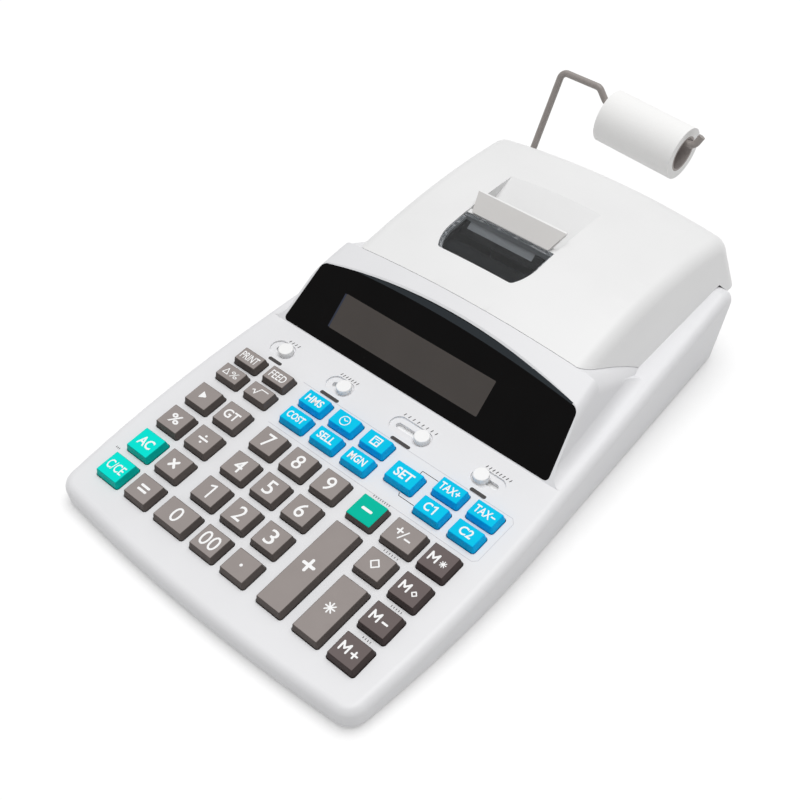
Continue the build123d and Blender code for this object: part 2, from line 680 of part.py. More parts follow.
def make_lower_case():
    """Lower case: floor, upstand inside the upper case, screw, board and printer posts."""
    outer = column_up(case_outline(base_inset), base_height, base_top + upstand_height)
    outer += column_up(rear_block_outline(base_inset), base_height, base_top + upstand_height)
    inner_inset = base_inset + upstand_thickness
    inner = column_up(case_outline(inner_inset), base_top, tall)
    inner += column_up(rear_block_outline(inner_inset), base_top, tall)
    body = outer - inner
    for x, y in post_places:
        body += column_up(Pos(x, y) * Circle(post_radius), base_height, post_split_height)
        body -= column_up(Pos(x, y) * Circle(foot_radius + foot_gap), 0, base_height + foot_recess)
        body -= column_up(Pos(x, y) * Circle(screw_radius + 3 * screw_gap), 0, post_split_height)
    board_plane = panel.offset(board_low_n)
    for x in (-board_post_x, board_post_x):
        for v in (board_post_front_v, board_post_rear_v):
            foot = panel.from_local_coords((0, v, board_low_n))
            post = column_up(Pos(x, foot.Y) * Circle(board_post_radius), base_height, tall)
            body += split(post, bisect_by=board_plane, keep=Keep.BOTTOM)
    for x, y in mechanism_post_places():
        body += column_up(Pos(x, y) * Circle(mechanism_post_radius), base_height, mechanism_base_z)
    inlet_z = base_top + board_thickness + inlet_height / 2
    plug_way = Cylinder(inlet_hole_radius + wall / 2, 6 * wall, rotation=(90, 0, 0))
    body -= Pos(inlet_x, rear_y, inlet_z) * plug_way
    return body


plate_x = platen_half_length + side_plate_gap + side_plate_thickness
mechanism_left_x = printer_x - plate_x
mechanism_right_x = printer_x + plate_x + motor_length


def mechanism_post_places():
    """Corners of the printer's base plate that stand on posts of the lower case."""
    edge = mechanism_post_radius + 1
    return [
        (x, y)
        for x in (mechanism_left_x + edge, mechanism_right_x - edge)
        for y in (mechanism_front_y + edge, mechanism_rear_y - edge)
    ]


def make_key(x, v, width, depth):
    """Key: tapered cap, skirt through the panel, retaining ears and plunger."""
    outline = RectangleRounded(width, depth, key_corner_radius)
    skirt = Pos(0, 0, key_stop_n) * extrude(outline, amount=key_land - key_stop_n)
    cap = Pos(0, 0, key_land) * extrude(outline, amount=key_height - key_land, taper=key_draft)
    key = skirt + cap
    key = fillet(key.faces().sort_by(Axis.Z)[-1].edges(), key_edge_radius)
    ears = Box(width + 2 * ear_width, depth - 3 * key_corner_radius, ear_thickness)
    key += Pos(0, 0, key_stop_n + ear_thickness / 2) * ears
    plunger = Cylinder(plunger_radius, plunger_length, align=(Align.CENTER, Align.CENTER, Align.MIN))
    key += Pos(0, 0, plunger_n) * plunger
    return on_panel(x, v, 0, key)


def slider_reach(travel):
    """Half length of a slider that covers its slot from below in every position."""
    return abs(travel) + slot_half_width + slider_lap


def make_knob(x, travel):
    """Switch knob: round button in its recess, stem through the slot, slider below."""
    floor_n = -switch_recess_depth
    slider_n = -wall - switch_pad - knob_gap - slider_thickness
    button = extrude(Circle(knob_radius), amount=knob_height - knob_gap)
    button = fillet(button.edges().sort_by(Axis.Z)[-1], knob_edge_radius)
    knob = Pos(0, 0, floor_n + knob_gap) * button
    stem_radius = slot_half_width - stem_gap
    knob += Pos(0, 0, slider_n) * extrude(Circle(stem_radius), amount=floor_n + 2 * knob_gap - slider_n)
    slider = Box(2 * slider_reach(travel), 2 * slider_half_width, slider_thickness)
    knob += Pos(0, 0, slider_n + slider_thickness / 2) * slider
    return on_panel(x, switch_v, 0, knob)


def make_circuit_boards():
    """Key board with slide switches, display module and power inlet."""
    length = board_rear_v - board_front_v
    board = Box(2 * board_half_width, length, board_thickness)
    key_board = on_panel(0, board_front_v + length / 2, (board_top_n + board_low_n) / 2, board)
    slider_low_n = -wall - switch_pad - knob_gap - slider_thickness
    switch_height = slider_low_n - knob_gap - board_top_n
    for _, x, travel in switches:
        body = Box(abs(travel) + 2 * slider_half_width, 2 * slider_half_width, switch_height)
        key_board += on_panel(x + travel / 2, switch_v, board_top_n + switch_height / 2, body)
    module_width = window_right_x - window_left_x + 2 * module_border
    module_length = window_high - window_low + 2 * module_border
    module_n = -lens_thickness - window_backing - module_thickness / 2
    module = Box(module_width, module_length, module_thickness)
    module_x = (window_left_x + window_right_x) / 2
    module = lens_plane.location * Pos(module_x, (window_low + window_high) / 2, module_n) * module
    front_y_of_inlet = rear_y - base_inset - upstand_thickness - inlet_gap - inlet_depth
    low_corner = (Align.CENTER, Align.MIN, Align.MIN)
    inlet_board = Box(2 * inlet_width, inlet_depth, board_thickness, align=low_corner)
    inlet = Pos(inlet_x, front_y_of_inlet, base_top) * inlet_board
    jack = Box(inlet_width, inlet_depth, inlet_height, align=low_corner)
    jack_top = base_top + board_thickness
    inlet += Pos(inlet_x, front_y_of_inlet, jack_top) * jack
    bore_y = front_y_of_inlet + inlet_depth
    bore = Cylinder(inlet_hole_radius, 2 * inlet_pin_length, rotation=(90, 0, 0))
    inlet -= Pos(inlet_x, bore_y, jack_top + inlet_height / 2) * bore
    pin = Cylinder(inlet_pin_radius, inlet_pin_length, rotation=(90, 0, 0))
    inlet += Pos(inlet_x, bore_y - inlet_pin_length / 2, jack_top + inlet_height / 2) * pin
    return together(key_board, module, inlet)


def make_key_mat():
    """Rubber mat on the key board with one collapsing dome under each key."""
    front_v = board_front_v + 2
    rear_v = high_small_row + small_key_depth
    sheet = Box(2 * board_half_width - 2, rear_v - front_v, mat_thickness)
    mat = on_panel(0, (front_v + rear_v) / 2, mat_top_n - mat_thickness / 2, sheet)
    domes = []
    for _, x, v, _, _ in keys:
        dome = Cone(
            rubber_dome_radius,
            rubber_dome_top_radius,
            rubber_dome_height,
            align=(Align.CENTER, Align.CENTER, Align.MIN),
        )
        domes.append(on_panel(x, v, mat_top_n, dome))
    return mat + domes


def make_display_lens():
    """Black lens, flush in the display housing's recess."""
    plate = extrude(lens_outline(lens_gap), amount=lens_thickness)
    return lens_plane.location * Pos(0, 0, -lens_thickness) * plate


bar_plane = Plane(
    origin=(printer_x, tear_bar_y, tear_bar_z),
    x_dir=(1, 0, 0),
    z_dir=(0, -sin(radians(tear_bar_tilt)), cos(radians(tear_bar_tilt))),
)


def make_printer_cover():
    """Printer cover: domed shell with window frame, tear bar rib and paper recess."""
    outer = cover_block(0)
    body = outer - cover_block(wall)
    frame_outline = opening_outline(-wall, tear_bar_y + wall)
    frame = column_up(frame_outline, 0, tall) & (dome_solid(0) - dome_solid(collar_depth))
    tub_x = opening_half_width + wall
    recess_floor_z = dome_z(0, paper_slot_end_y) - recess_depth
    end_z = dome_z(0, recess_end_y)
    tub_profile = [
        (paper_slot_end_y, recess_floor_z - wall),
        (paper_slot_end_y, tall),
        (recess_end_y + wall, tall),
        (recess_end_y + wall, end_z - wall),
    ]
    tub = prism_across(tub_profile, printer_x - tub_x, printer_x + tub_x) & outer
    body = body + frame + tub
    recess_profile = [
        (paper_slot_end_y - wall, recess_floor_z),
        (paper_slot_end_y, recess_floor_z),
        (recess_end_y, end_z),
        (recess_end_y, tall),
        (paper_slot_end_y - wall, tall),
    ]
    body -= prism_across(recess_profile, printer_x - opening_half_width, printer_x + opening_half_width)
    body -= column_up(opening_outline(print_window_ledge, tear_bar_y), 0, tall)
    window_seat = column_up(opening_outline(0, tear_bar_y), 0, tall)
    body -= window_seat - dome_solid(print_window_drop + print_window_thickness)
    slot_x = 2 * opening_half_width
    slot = Box(slot_x, paper_slot_end_y - tear_bar_y + wall, tall, align=(Align.CENTER, Align.MIN, Align.MIN))
    body -= Pos(printer_x, tear_bar_y - wall, 0) * slot
    rib_length = print_window_ledge + 2 * tear_bar_thickness
    rib = Box(2 * tub_x, rib_length, tall, align=(Align.CENTER, Align.MIN, Align.MIN))
    rib = Pos(printer_x, tear_bar_y - print_window_ledge, tear_bar_z - tear_rib_depth) * rib
    rib = split(rib, bisect_by=bar_plane, keep=Keep.BOTTOM) & dome_solid(wall / 2)
    body += rib - (window_seat - dome_solid(print_window_drop + print_window_thickness))
    skirt = above_plane(body, Plane.XY.offset(cover_foot_z))
    body = above_plane(body, panel) + above_plane(skirt, skirt_plane) + above_plane(skirt, skirt_bevel)
    return body - display_block(-cover_gap, -cover_gap)


def make_tear_window():
    """Smoked print window and the tear bar behind it."""
    plan = opening_outline(print_window_gap, tear_bar_y - print_window_gap)
    layer = dome_solid(print_window_drop) - dome_solid(print_window_drop + print_window_thickness)
    window = column_up(plan, 0, tall) & layer
    top_x = opening_half_width - tear_bar_gap
    foot_x = top_x - tear_bar_taper
    outline = Polyline(
        (-foot_x, 0), (foot_x, 0), (top_x, tear_bar_length), (-top_x, tear_bar_length), close=True
    )
    bar = extrude(make_face(outline), amount=tear_bar_thickness)
    return together(window, bar_plane.location * bar)


def make_printer_mechanism():
    """Printer frame with base, two side plates and paper guide, and its motor."""
    base_top_z = mechanism_base_z + mechanism_base_thickness
    length = mechanism_rear_y - mechanism_front_y
    width = mechanism_right_x - mechanism_left_x
    base = Box(width, length, mechanism_base_thickness, align=(Align.MIN, Align.MIN, Align.MIN))
    frame = Pos(mechanism_left_x, mechanism_front_y, mechanism_base_z) * base
    bearing_height = 2 * shaft_radius
    profile = [
        (mechanism_front_y, mechanism_base_z),
        (mechanism_front_y, platen_z - 2 * bearing_height),
        (platen_y - bearing_height, platen_z + bearing_height),
        (guide_high_y, guide_high_z),
        (mechanism_rear_y, platen_z - 2 * bearing_height),
        (mechanism_rear_y, mechanism_base_z),
    ]
    inner_x = platen_half_length + side_plate_gap
    frame += prism_across(profile, printer_x - plate_x, printer_x - inner_x)
    frame += prism_across(profile, printer_x + inner_x, printer_x + plate_x)
    guide = [
        (guide_low_y, guide_low_z),
        (guide_high_y, guide_high_z),
        (guide_high_y + guide_thickness, guide_high_z - guide_thickness),
        (guide_low_y + guide_thickness, guide_low_z - guide_thickness),
    ]
    frame += prism_across(guide, printer_x - plate_x, printer_x + plate_x)
    bore = Cylinder(shaft_radius + shaft_clearance, 4 * plate_x, rotation=(0, 90, 0))
    frame -= Pos(printer_x, platen_y, platen_z) * bore
    from_plate = (Align.CENTER, Align.CENTER, Align.MIN)
    motor = Cylinder(motor_radius, motor_length, rotation=(0, 90, 0), align=from_plate)
    motor = Pos(printer_x + plate_x, motor_y, base_top_z + motor_radius) * motor
    return together(frame, motor)


def make_platen_roller():
    """Rubber platen on its steel shaft."""
    roller = Cylinder(platen_radius, 2 * platen_half_length, rotation=(0, 90, 0))
    shaft = Cylinder(shaft_radius, 2 * (plate_x + shaft_overhang), rotation=(0, 90, 0))
    return Pos(printer_x, platen_y, platen_z) * (roller + shaft)


def make_paper_arm():
    """Bent wire: plug into the rear wall, leg, crossbar, drop, roll holder and hook."""
    corner = arm_foot + arm_up * arm_leg
    crossbar = Vector(cos(radians(arm_bar_droop)), 0, -sin(radians(arm_bar_droop)))
    drop_start = corner + crossbar * arm_crossbar
    drop_end = arm_foot + arm_up * arm_hold + arm_ex * arm_hold_run
    hook_foot = drop_end + arm_ex * arm_roll_run
    hook_end = hook_foot + arm_ex * arm_hook_run + arm_up * arm_hook
    plug = Vector(socket_x, rear_y - socket_depth, socket_z)
    path = FilletPolyline(
        plug, arm_foot, corner, drop_start, drop_end, hook_foot, hook_end, radius=arm_bend_radius
    )
    section = Plane(origin=path @ 0, z_dir=path % 0) * Circle(wire_radius)
    return sweep(section, path=path)


def make_paper_roll():
    """Paper wound on a cardboard core, hanging on the arm."""
    core_outside = core_radius + core_thickness
    paper = extrude(Circle(roll_radius) - Circle(core_outside), amount=roll_width)
    core = extrude(Circle(core_outside) - Circle(core_radius), amount=roll_width)
    return together(roll_plane.location * paper, roll_plane.location * core)


def make_screw_feet():
    """Four rubber feet, each round the head of a case screw."""
    pieces = []
    seat = base_height + foot_recess
    for x, y in post_places:
        ring = Circle(foot_radius) - Circle(screw_head_radius + screw_head_gap)
        pieces.append(column_up(Pos(x, y) * ring, 0, seat))
        screw = column_up(Pos(x, y) * Circle(screw_head_radius), seat - screw_head_height, seat)
        screw += column_up(Pos(x, y) * Circle(screw_radius), seat, post_split_height + screw_engagement)
        pieces.append(screw)
    return together(*pieces)


nodes = {
    "lower_case": make_lower_case(),
    "upper_case": make_upper_case(),
    "printer_cover": make_printer_cover(),
    "tear_window": make_tear_window(),
    "display_lens": make_display_lens(),
    "circuit_boards": make_circuit_boards(),
    "key_mat": make_key_mat(),
    "printer_mechanism": make_printer_mechanism(),
    "platen_roller": make_platen_roller(),
    "paper_arm": make_paper_arm(),
    "paper_roll": make_paper_roll(),
    "screw_feet": make_screw_feet(),
}
for name, x, travel in switches:
    nodes[name] = make_knob(x, travel)
for name, x, v, width, depth in keys:
    nodes[name] = make_key(x, v, width, depth)

boxes = [shape.bounding_box() for shape in nodes.values()]
low_x, high_x = min(box.min.X for box in boxes), max(box.max.X for box in boxes)
low_y, high_y = min(box.min.Y for box in boxes), max(box.max.Y for box in boxes)
shift_x, shift_y = -(low_x + high_x) / 2, -(low_y + high_y) / 2

os.makedirs("parts", exist_ok=True)
for name, shape in nodes.items():
    export_step(Pos(shift_x, shift_y, 0) * shape, f"parts/{name}.step")
    box = shape.bounding_box().size
    print(f"{name}: {box.X:.1f} x {box.Y:.1f} x {box.Z:.1f} mm, {len(shape.solids())} solids")
print(f"moved by {shift_x:.4f}, {shift_y:.4f}")
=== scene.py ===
# %% [markdown]
# Printing desk calculator. The CAD frame gives every solid its size and place, and
# this lesson dresses it: printed legends, panel graphics, the dark display, the
# smoked print window, and the finish of each moulding. Everything is in metres.

# %% Load the frame
import bpy
import json
import math
from mathutils import Matrix, Vector


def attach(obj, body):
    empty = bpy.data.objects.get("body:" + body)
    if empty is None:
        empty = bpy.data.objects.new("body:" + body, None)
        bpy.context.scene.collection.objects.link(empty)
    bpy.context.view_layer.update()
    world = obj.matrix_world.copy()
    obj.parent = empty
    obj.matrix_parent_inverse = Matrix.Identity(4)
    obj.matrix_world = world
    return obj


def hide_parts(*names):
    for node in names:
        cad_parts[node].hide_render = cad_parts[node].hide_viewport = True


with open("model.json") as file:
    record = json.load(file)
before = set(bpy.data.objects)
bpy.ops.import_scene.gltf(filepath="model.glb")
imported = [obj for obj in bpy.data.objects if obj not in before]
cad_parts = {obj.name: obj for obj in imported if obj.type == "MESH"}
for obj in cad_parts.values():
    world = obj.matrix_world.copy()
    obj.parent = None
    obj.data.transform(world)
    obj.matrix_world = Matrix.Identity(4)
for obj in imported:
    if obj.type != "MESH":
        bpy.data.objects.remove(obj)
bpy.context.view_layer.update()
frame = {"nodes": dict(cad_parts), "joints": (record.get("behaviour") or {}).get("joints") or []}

MM = 0.001
nodes = frame["nodes"]

# %% [markdown]
# Two directions place nearly everything. The key panel is tilted, so legends and
# prints lie in its plane. A key moves straight into the panel, so the axis of a key
# joint, turned round, is the panel's normal. The panel's middle is found under the
# front key row, whose tops stand four millimetres above the panel.

# %% Directions and places on the key panel
press = next(joint for joint in frame["joints"] if joint["name"] == "key_5_press")
across = Vector((1, 0, 0))
panel_normal = -Vector(press["axis"]).normalized()
panel_up = panel_normal.cross(across)


def key_top(name):
    """Middle of a key's top face: its vertices that lie highest along the panel's normal."""
    corners = [vertex.co for vertex in nodes[name].data.vertices]
    highest = max(corner.dot(panel_normal) for corner in corners)
    face = [corner for corner in corners if corner.dot(panel_normal) > highest - 0.02 * MM]
    x = (min(c.x for c in face) + max(c.x for c in face)) / 2
    up = (min(c.dot(panel_up) for c in face) + max(c.dot(panel_up) for c in face)) / 2
    return across * x + panel_up * up + panel_normal * highest


KEY_RISE = 4.0      # key tops above the panel
LENS_TILT = 43      # degrees from the desk
LENS_FOOT = 117.5   # lower edge of the lens, up the panel from the front key row

front_key = key_top("key_point")
panel_origin = Vector((0, front_key.y, front_key.z)) - panel_normal * KEY_RISE * MM
lens_tilt = math.radians(LENS_TILT)
lens_normal = Vector((0, -math.sin(lens_tilt), math.cos(lens_tilt)))
lens_up = lens_normal.cross(across)
lens_origin = panel_origin + panel_up * LENS_FOOT * MM


def lay(origin, up, normal, x, v, lift):
    """Matrix that lays a flat piece on a plane: x across, v along, lift above, in millimetres."""
    place = origin + across * x * MM + up * v * MM + normal * lift * MM
    turn = Matrix((across, up, normal)).transposed().to_4x4()
    return Matrix.Translation(place) @ turn


print("panel normal:", [round(value, 3) for value in panel_normal])

# %% [markdown]
# The camera stands where the photograph was taken: to the right of the front edge,
# well above it. The key grid gave its place, so keys fall on keys in the picture.

# %% Camera
camera_data = bpy.data.cameras.new("camera")
camera_data.lens = 53.79
camera_data.sensor_width = 36
camera = bpy.data.objects.new("camera", camera_data)
bpy.context.scene.collection.objects.link(camera)
camera.location = (0.27427, panel_origin.y - 0.19135, 0.42752)
looking = Vector((-0.4804, 0.5327, -0.6967))
camera.rotation_euler = looking.to_track_quat("-Z", "Y").to_euler()
bpy.context.scene.camera = camera
bpy.context.scene.view_settings.view_transform = "Standard"
print("camera at", [round(value, 3) for value in camera.location])

# %% [markdown]
# Materials are node trees. Colours are written as the sRGB hex values of a colour
# picker, and one function makes them linear. One more function adds a node, sets it
# and links it, so each finish below reads as a short list of nodes.

# %% Colour and node helpers


def colour(hex_code):
    """Linear RGBA of an sRGB hex colour."""
    channels = [int(hex_code[place:place + 2], 16) / 255 for place in (1, 3, 5)]
    linear = [
        value / 12.92 if value <= 0.04045 else ((value + 0.055) / 1.055) ** 2.4 for value in channels
    ]
    return (*linear, 1.0)


def add(tree, kind, settings=(), links=()):
    """Add a node, set its properties or input values, and link its inputs."""
    made = tree.nodes.new(kind)
    for name, value in dict(settings).items():
        if isinstance(name, str) and name in made.bl_rna.properties:
            setattr(made, name, value)
        else:
            made.inputs[name].default_value = value
    for name, source in dict(links).items():
        tree.links.new(source, made.inputs[name])
    return made


def new_finish(name):
    """A material with an empty tree, its shader linked to the output, and Object coordinates."""
    material = bpy.data.materials.new(name)
    material.use_nodes = True
    tree = material.node_tree
    tree.nodes.clear()
    shader = add(tree, "ShaderNodeBsdfPrincipled")
    add(tree, "ShaderNodeOutputMaterial", links={"Surface": shader.outputs["BSDF"]})
    place = add(tree, "ShaderNodeTexCoord").outputs["Object"]
    return material, tree, shader, place


def per_metre(size_mm):
    """Texture scale at which one feature is about this many millimetres across."""
    return 1 / (size_mm * MM)


print("white is", [round(value, 2) for value in colour("#FFFFFF")])

# %% [markdown]
# Most pieces are moulded ABS. The mould is spark-eroded, which leaves a fine satin
# grain: a soft highlight that breaks up close by. Two noise textures give it, a fine
# one for the grain's bump and a wide one for the slight unevenness of colour and gloss.

# %% Moulded ABS


def moulded_abs(name, hex_code, roughness=0.42, grain_mm=0.7, grain_depth_mm=0.012, unevenness=0.03):
    """Satin moulded plastic. Its grain is drawn coarser than real, so that it shows."""
    material, tree, shader, place = new_finish(name)
    base = colour(hex_code)
    darker = (*[channel * (1 - 2 * unevenness) for channel in base[:3]], 1.0)
    wide = add(tree, "ShaderNodeTexNoise", {"Scale": per_metre(35), "Detail": 3.0}, {"Vector": place})
    blend = add(
        tree, "ShaderNodeMix", {"data_type": "RGBA", 6: darker, 7: base}, {0: wide.outputs["Fac"]}
    )
    fine = add(
        tree, "ShaderNodeTexNoise", {"Scale": per_metre(grain_mm), "Detail": 4.0}, {"Vector": place}
    )
    gloss = add(
        tree, "ShaderNodeMapRange",
        {"To Min": roughness - 0.06, "To Max": roughness + 0.06},
        {"Value": wide.outputs["Fac"]},
    )
    bump = add(
        tree, "ShaderNodeBump",
        {"Strength": 0.5, "Distance": grain_depth_mm * MM},
        {"Height": fine.outputs["Fac"]},
    )
    tree.links.new(blend.outputs[2], shader.inputs["Base Color"])
    tree.links.new(gloss.outputs["Result"], shader.inputs["Roughness"])
    tree.links.new(bump.outputs["Normal"], shader.inputs["Normal"])
    shader.inputs["IOR"].default_value = 1.53
    return material


case_abs = moulded_abs("moulded_abs_case_white", "#E9E9EB")
cover_abs = moulded_abs("moulded_abs_cover_white", "#EFEFEF")
base_abs = moulded_abs("moulded_abs_base_grey", "#DCDCDE")
knob_abs = moulded_abs("moulded_abs_knob_white", "#F7F7F7", roughness=0.38)
bar_abs = moulded_abs("moulded_abs_tear_bar", "#D6D4D2", roughness=0.45)
frame_abs = moulded_abs("moulded_abs_printer_grey", "#191817", roughness=0.5)
dark_frame_abs = moulded_abs("moulded_abs_switch_black", "#2A2A2B", roughness=0.5)
print("moulded plastics:", len(bpy.data.materials))

# %% [markdown]
# The keys are moulded in through-coloured ABS. Their tops are textured for the finger and
# the sloping sides are smooth. The tops are also painted lighter and the sides painted darker:
# painted light and shade. One finish mixes the two tones by the direction in which the
# surface faces: along the panel's normal is the top.

# %% Key plastics


def key_abs(name, lit_top_hex, shaded_side_hex, roughness=0.45, side_until=0.90, top_from=0.995):
    """Key plastic: a grained top and smoother sides, with painted light: the top painted lighter, the
    sides painted darker.
    """
    material, tree, shader, place = new_finish(name)
    facing = add(tree, "ShaderNodeNewGeometry").outputs["Normal"]
    towards = add(
        tree, "ShaderNodeVectorMath", {"operation": "DOT_PRODUCT", 1: panel_normal}, {0: facing}
    )
    # top is the mask of the painted light: 1 on the top, painted lighter, and 0 on the sides, painted
    # darker.
    top = add(
        tree, "ShaderNodeMapRange",
        {"From Min": side_until, "From Max": top_from, "To Min": 0.0, "To Max": 1.0},
        {"Value": towards.outputs["Value"]},
    )
    wide = add(tree, "ShaderNodeTexNoise", {"Scale": per_metre(9), "Detail": 3.0}, {"Vector": place})
    # Painted light and shade: the darker side colour and the lighter top colour, mixed by that mask.
    tone = add(
        tree, "ShaderNodeMix",
        {"data_type": "RGBA", 6: colour(shaded_side_hex), 7: colour(lit_top_hex)},
        {0: top.outputs["Result"]},
    )
    shade = add(tree, "ShaderNodeHueSaturation", links={"Color": tone.outputs[2]})
    value = add(
        tree, "ShaderNodeMapRange", {"To Min": 0.94, "To Max": 1.05}, {"Value": wide.outputs["Fac"]}
    )
    tree.links.new(value.outputs["Result"], shade.inputs["Value"])
    fine = add(tree, "ShaderNodeTexNoise", {"Scale": per_metre(0.5), "Detail": 4.0}, {"Vector": place})
    grain = add(
        tree, "ShaderNodeMath", {"operation": "MULTIPLY"},
        {0: fine.outputs["Fac"], 1: top.outputs["Result"]},
    )
    bump = add(
        tree, "ShaderNodeBump",
        {"Strength": 0.6, "Distance": 0.012 * MM},
        {"Height": grain.outputs["Value"]},
    )
    gloss = add(
        tree, "ShaderNodeMapRange",
        {"To Min": roughness - 0.12, "To Max": roughness + 0.03},
        {"Value": top.outputs["Result"]},
    )
    tree.links.new(shade.outputs["Color"], shader.inputs["Base Color"])
    tree.links.new(gloss.outputs["Result"], shader.inputs["Roughness"])
    tree.links.new(bump.outputs["Normal"], shader.inputs["Normal"])
    shader.inputs["Specular IOR Level"].default_value = 0.05
    return material


# Each pair is a painted lighter top and a painted darker side of one key colour.
grey_key_abs = key_abs("moulded_abs_key_grey", "#9A928F", "#5E5754")
dark_key_abs = key_abs("moulded_abs_key_dark", "#6E6463", "#463D3C")
blue_key_abs = key_abs("moulded_abs_key_blue", "#00C6EC", "#00B2F0")
turquoise_key_abs = key_abs("moulded_abs_key_turquoise", "#00E2D2", "#00B8AC")
# The minus key is a grey moulding under a green cap, which also covers the rounded edge of the top.
# Its grey sides take the painted darker side tone of the grey keys.
green_top_abs = key_abs(
    "moulded_abs_key_green_top", "#00BBA0", "#5E5754", side_until=0.40, top_from=0.50
)
print("key plastics:", grey_key_abs.name, blue_key_abs.name)

# %% [markdown]
# The lens is a sheet of acrylic, screen-printed black behind, so it is a deep gloss
# black with a hard highlight. A few polishing marks keep it from looking like a hole.
# The display behind it has a brownish polariser. The grey light that the edges of both
# catch is painted on: painted highlights.

# %% Lens and display
lens_acrylic, tree, shader, place = new_finish("acrylic_lens_black_backed")
marks = add(tree, "ShaderNodeTexNoise", {"Scale": per_metre(14), "Detail": 6.0}, {"Vector": place})
haze = add(
    tree, "ShaderNodeMapRange", {"To Min": 0.06, "To Max": 0.13}, {"Value": marks.outputs["Fac"]}
)
tree.links.new(haze.outputs["Result"], shader.inputs["Roughness"])
tint = add(
    tree, "ShaderNodeMix",
    {"data_type": "RGBA", 6: colour("#090808"), 7: colour("#0E0D0D")},
    {0: marks.outputs["Fac"]},
)
tree.links.new(tint.outputs[2], shader.inputs["Base Color"])
shader.inputs["Specular IOR Level"].default_value = 0.1

lcd_film, tree, shader, place = new_finish("lcd_polariser_film")
cells = add(tree, "ShaderNodeTexNoise", {"Scale": per_metre(30), "Detail": 2.0}, {"Vector": place})
tint = add(
    tree, "ShaderNodeMix",
    {"data_type": "RGBA", 6: colour("#46423F"), 7: colour("#504A47")},
    {0: cells.outputs["Fac"]},
)
tree.links.new(tint.outputs[2], shader.inputs["Base Color"])
shader.inputs["Roughness"].default_value = 0.2
shader.inputs["IOR"].default_value = 1.49
shader.inputs["Specular IOR Level"].default_value = 0.25


def lens_print(name, hex_code):
    """Painted highlight on an edge of the lens or display: a grey tone, a little uneven."""
    material, tree, shader, place = new_finish(name)
    film = add(tree, "ShaderNodeTexNoise", {"Scale": per_metre(25), "Detail": 2.0}, {"Vector": place})
    base = colour(hex_code)
    darker = (*[channel * 0.8 for channel in base[:3]], 1.0)
    tint = add(
        tree, "ShaderNodeMix", {"data_type": "RGBA", 6: darker, 7: base}, {0: film.outputs["Fac"]}
    )
    tree.links.new(tint.outputs[2], shader.inputs["Base Color"])
    shader.inputs["Roughness"].default_value = 0.2
    shader.inputs["Specular IOR Level"].default_value = 0.1
    return material


# Painted highlights of the lit edges of the lens and the display.
lens_edge = lens_print("acrylic_lens_edge_painted_highlight", "#33383C")
lcd_edge = lens_print("lcd_glass_edge_painted_highlight", "#3C4150")
print("lens and display:", lens_acrylic.name, lcd_film.name, lens_edge.name, lcd_edge.name)

# %% [markdown]
# The print window is clear smoked polycarbonate, so the printer shows through it, dark.
# Light crosses the sheet twice, which squares its tint. The index is set under the 1.58
# of polycarbonate, so that less sky glares on the window.

# %% Smoked window
smoked_window, tree, shader, place = new_finish("polycarbonate_window_smoked")
flow = add(tree, "ShaderNodeTexNoise", {"Scale": per_metre(18), "Detail": 2.0}, {"Vector": place})
haze = add(
    tree, "ShaderNodeMapRange", {"To Min": 0.03, "To Max": 0.09}, {"Value": flow.outputs["Fac"]}
)
tree.links.new(haze.outputs["Result"], shader.inputs["Roughness"])
shader.inputs["Base Color"].default_value = colour("#B4B7BA")
shader.inputs["Transmission Weight"].default_value = 1.0
shader.inputs["IOR"].default_value = 1.4
print("window:", smoked_window.name)

# %% [markdown]
# The roll is uncoated paper, dull and a little fibrous, on a grey cardboard core. On its
# ends the wound layers show as fine rings, drawn wider apart than real so that they can be
# seen. A Mapping node puts the pattern on the roll's own axis, and the distance from the
# axis tells card from paper.

# %% Wound paper on its core
CORE_OUTSIDE = 10.0   # radius of the cardboard core
LAYER_PITCH = 0.45    # distance between the rings

roll_joint = next(joint for joint in frame["joints"] if joint["name"] == "roll_spin")
roll_turn = Vector(roll_joint["axis"]).to_track_quat("X", "Z").to_euler()

wound_paper, tree, shader, place = new_finish("uncoated_paper_on_cardboard_core")
centred = add(
    tree, "ShaderNodeMapping",
    {"vector_type": "TEXTURE", "Location": roll_joint["pos_m"], "Rotation": roll_turn},
    {"Vector": place},
)
flat = add(
    tree, "ShaderNodeVectorMath",
    {"operation": "MULTIPLY", 1: (0, 1, 1)},
    {0: centred.outputs["Vector"]},
)
reach = add(tree, "ShaderNodeVectorMath", {"operation": "LENGTH"}, {0: flat.outputs["Vector"]})
radius = reach.outputs["Value"]
is_paper = add(
    tree, "ShaderNodeMath", {"operation": "GREATER_THAN", 1: (CORE_OUTSIDE - 0.05) * MM}, {0: radius}
)
turns = add(
    tree, "ShaderNodeMath",
    {"operation": "MULTIPLY", 1: 2 * math.pi * per_metre(LAYER_PITCH)},
    {0: radius},
)
layers = add(tree, "ShaderNodeMath", {"operation": "SINE"}, {0: turns.outputs["Value"]})
fibre = add(tree, "ShaderNodeTexNoise", {"Scale": per_metre(0.8), "Detail": 5.0}, {"Vector": place})
sheet = add(
    tree, "ShaderNodeMix",
    {"data_type": "RGBA", 6: colour("#F8F7F6"), 7: colour("#FDFDFC")},
    {0: fibre.outputs["Fac"]},
)
edge_shade = add(
    tree, "ShaderNodeMapRange",
    {"From Min": -1.0, "From Max": 1.0, "To Min": 0.93, "To Max": 1.0},
    {"Value": layers.outputs["Value"]},
)
edges = add(
    tree, "ShaderNodeHueSaturation",
    links={"Color": sheet.outputs[2], "Value": edge_shade.outputs["Result"]},
)
card = add(
    tree, "ShaderNodeMix",
    {"data_type": "RGBA", 6: colour("#A8A09D"), 7: colour("#BDB6B3")},
    {0: fibre.outputs["Fac"]},
)
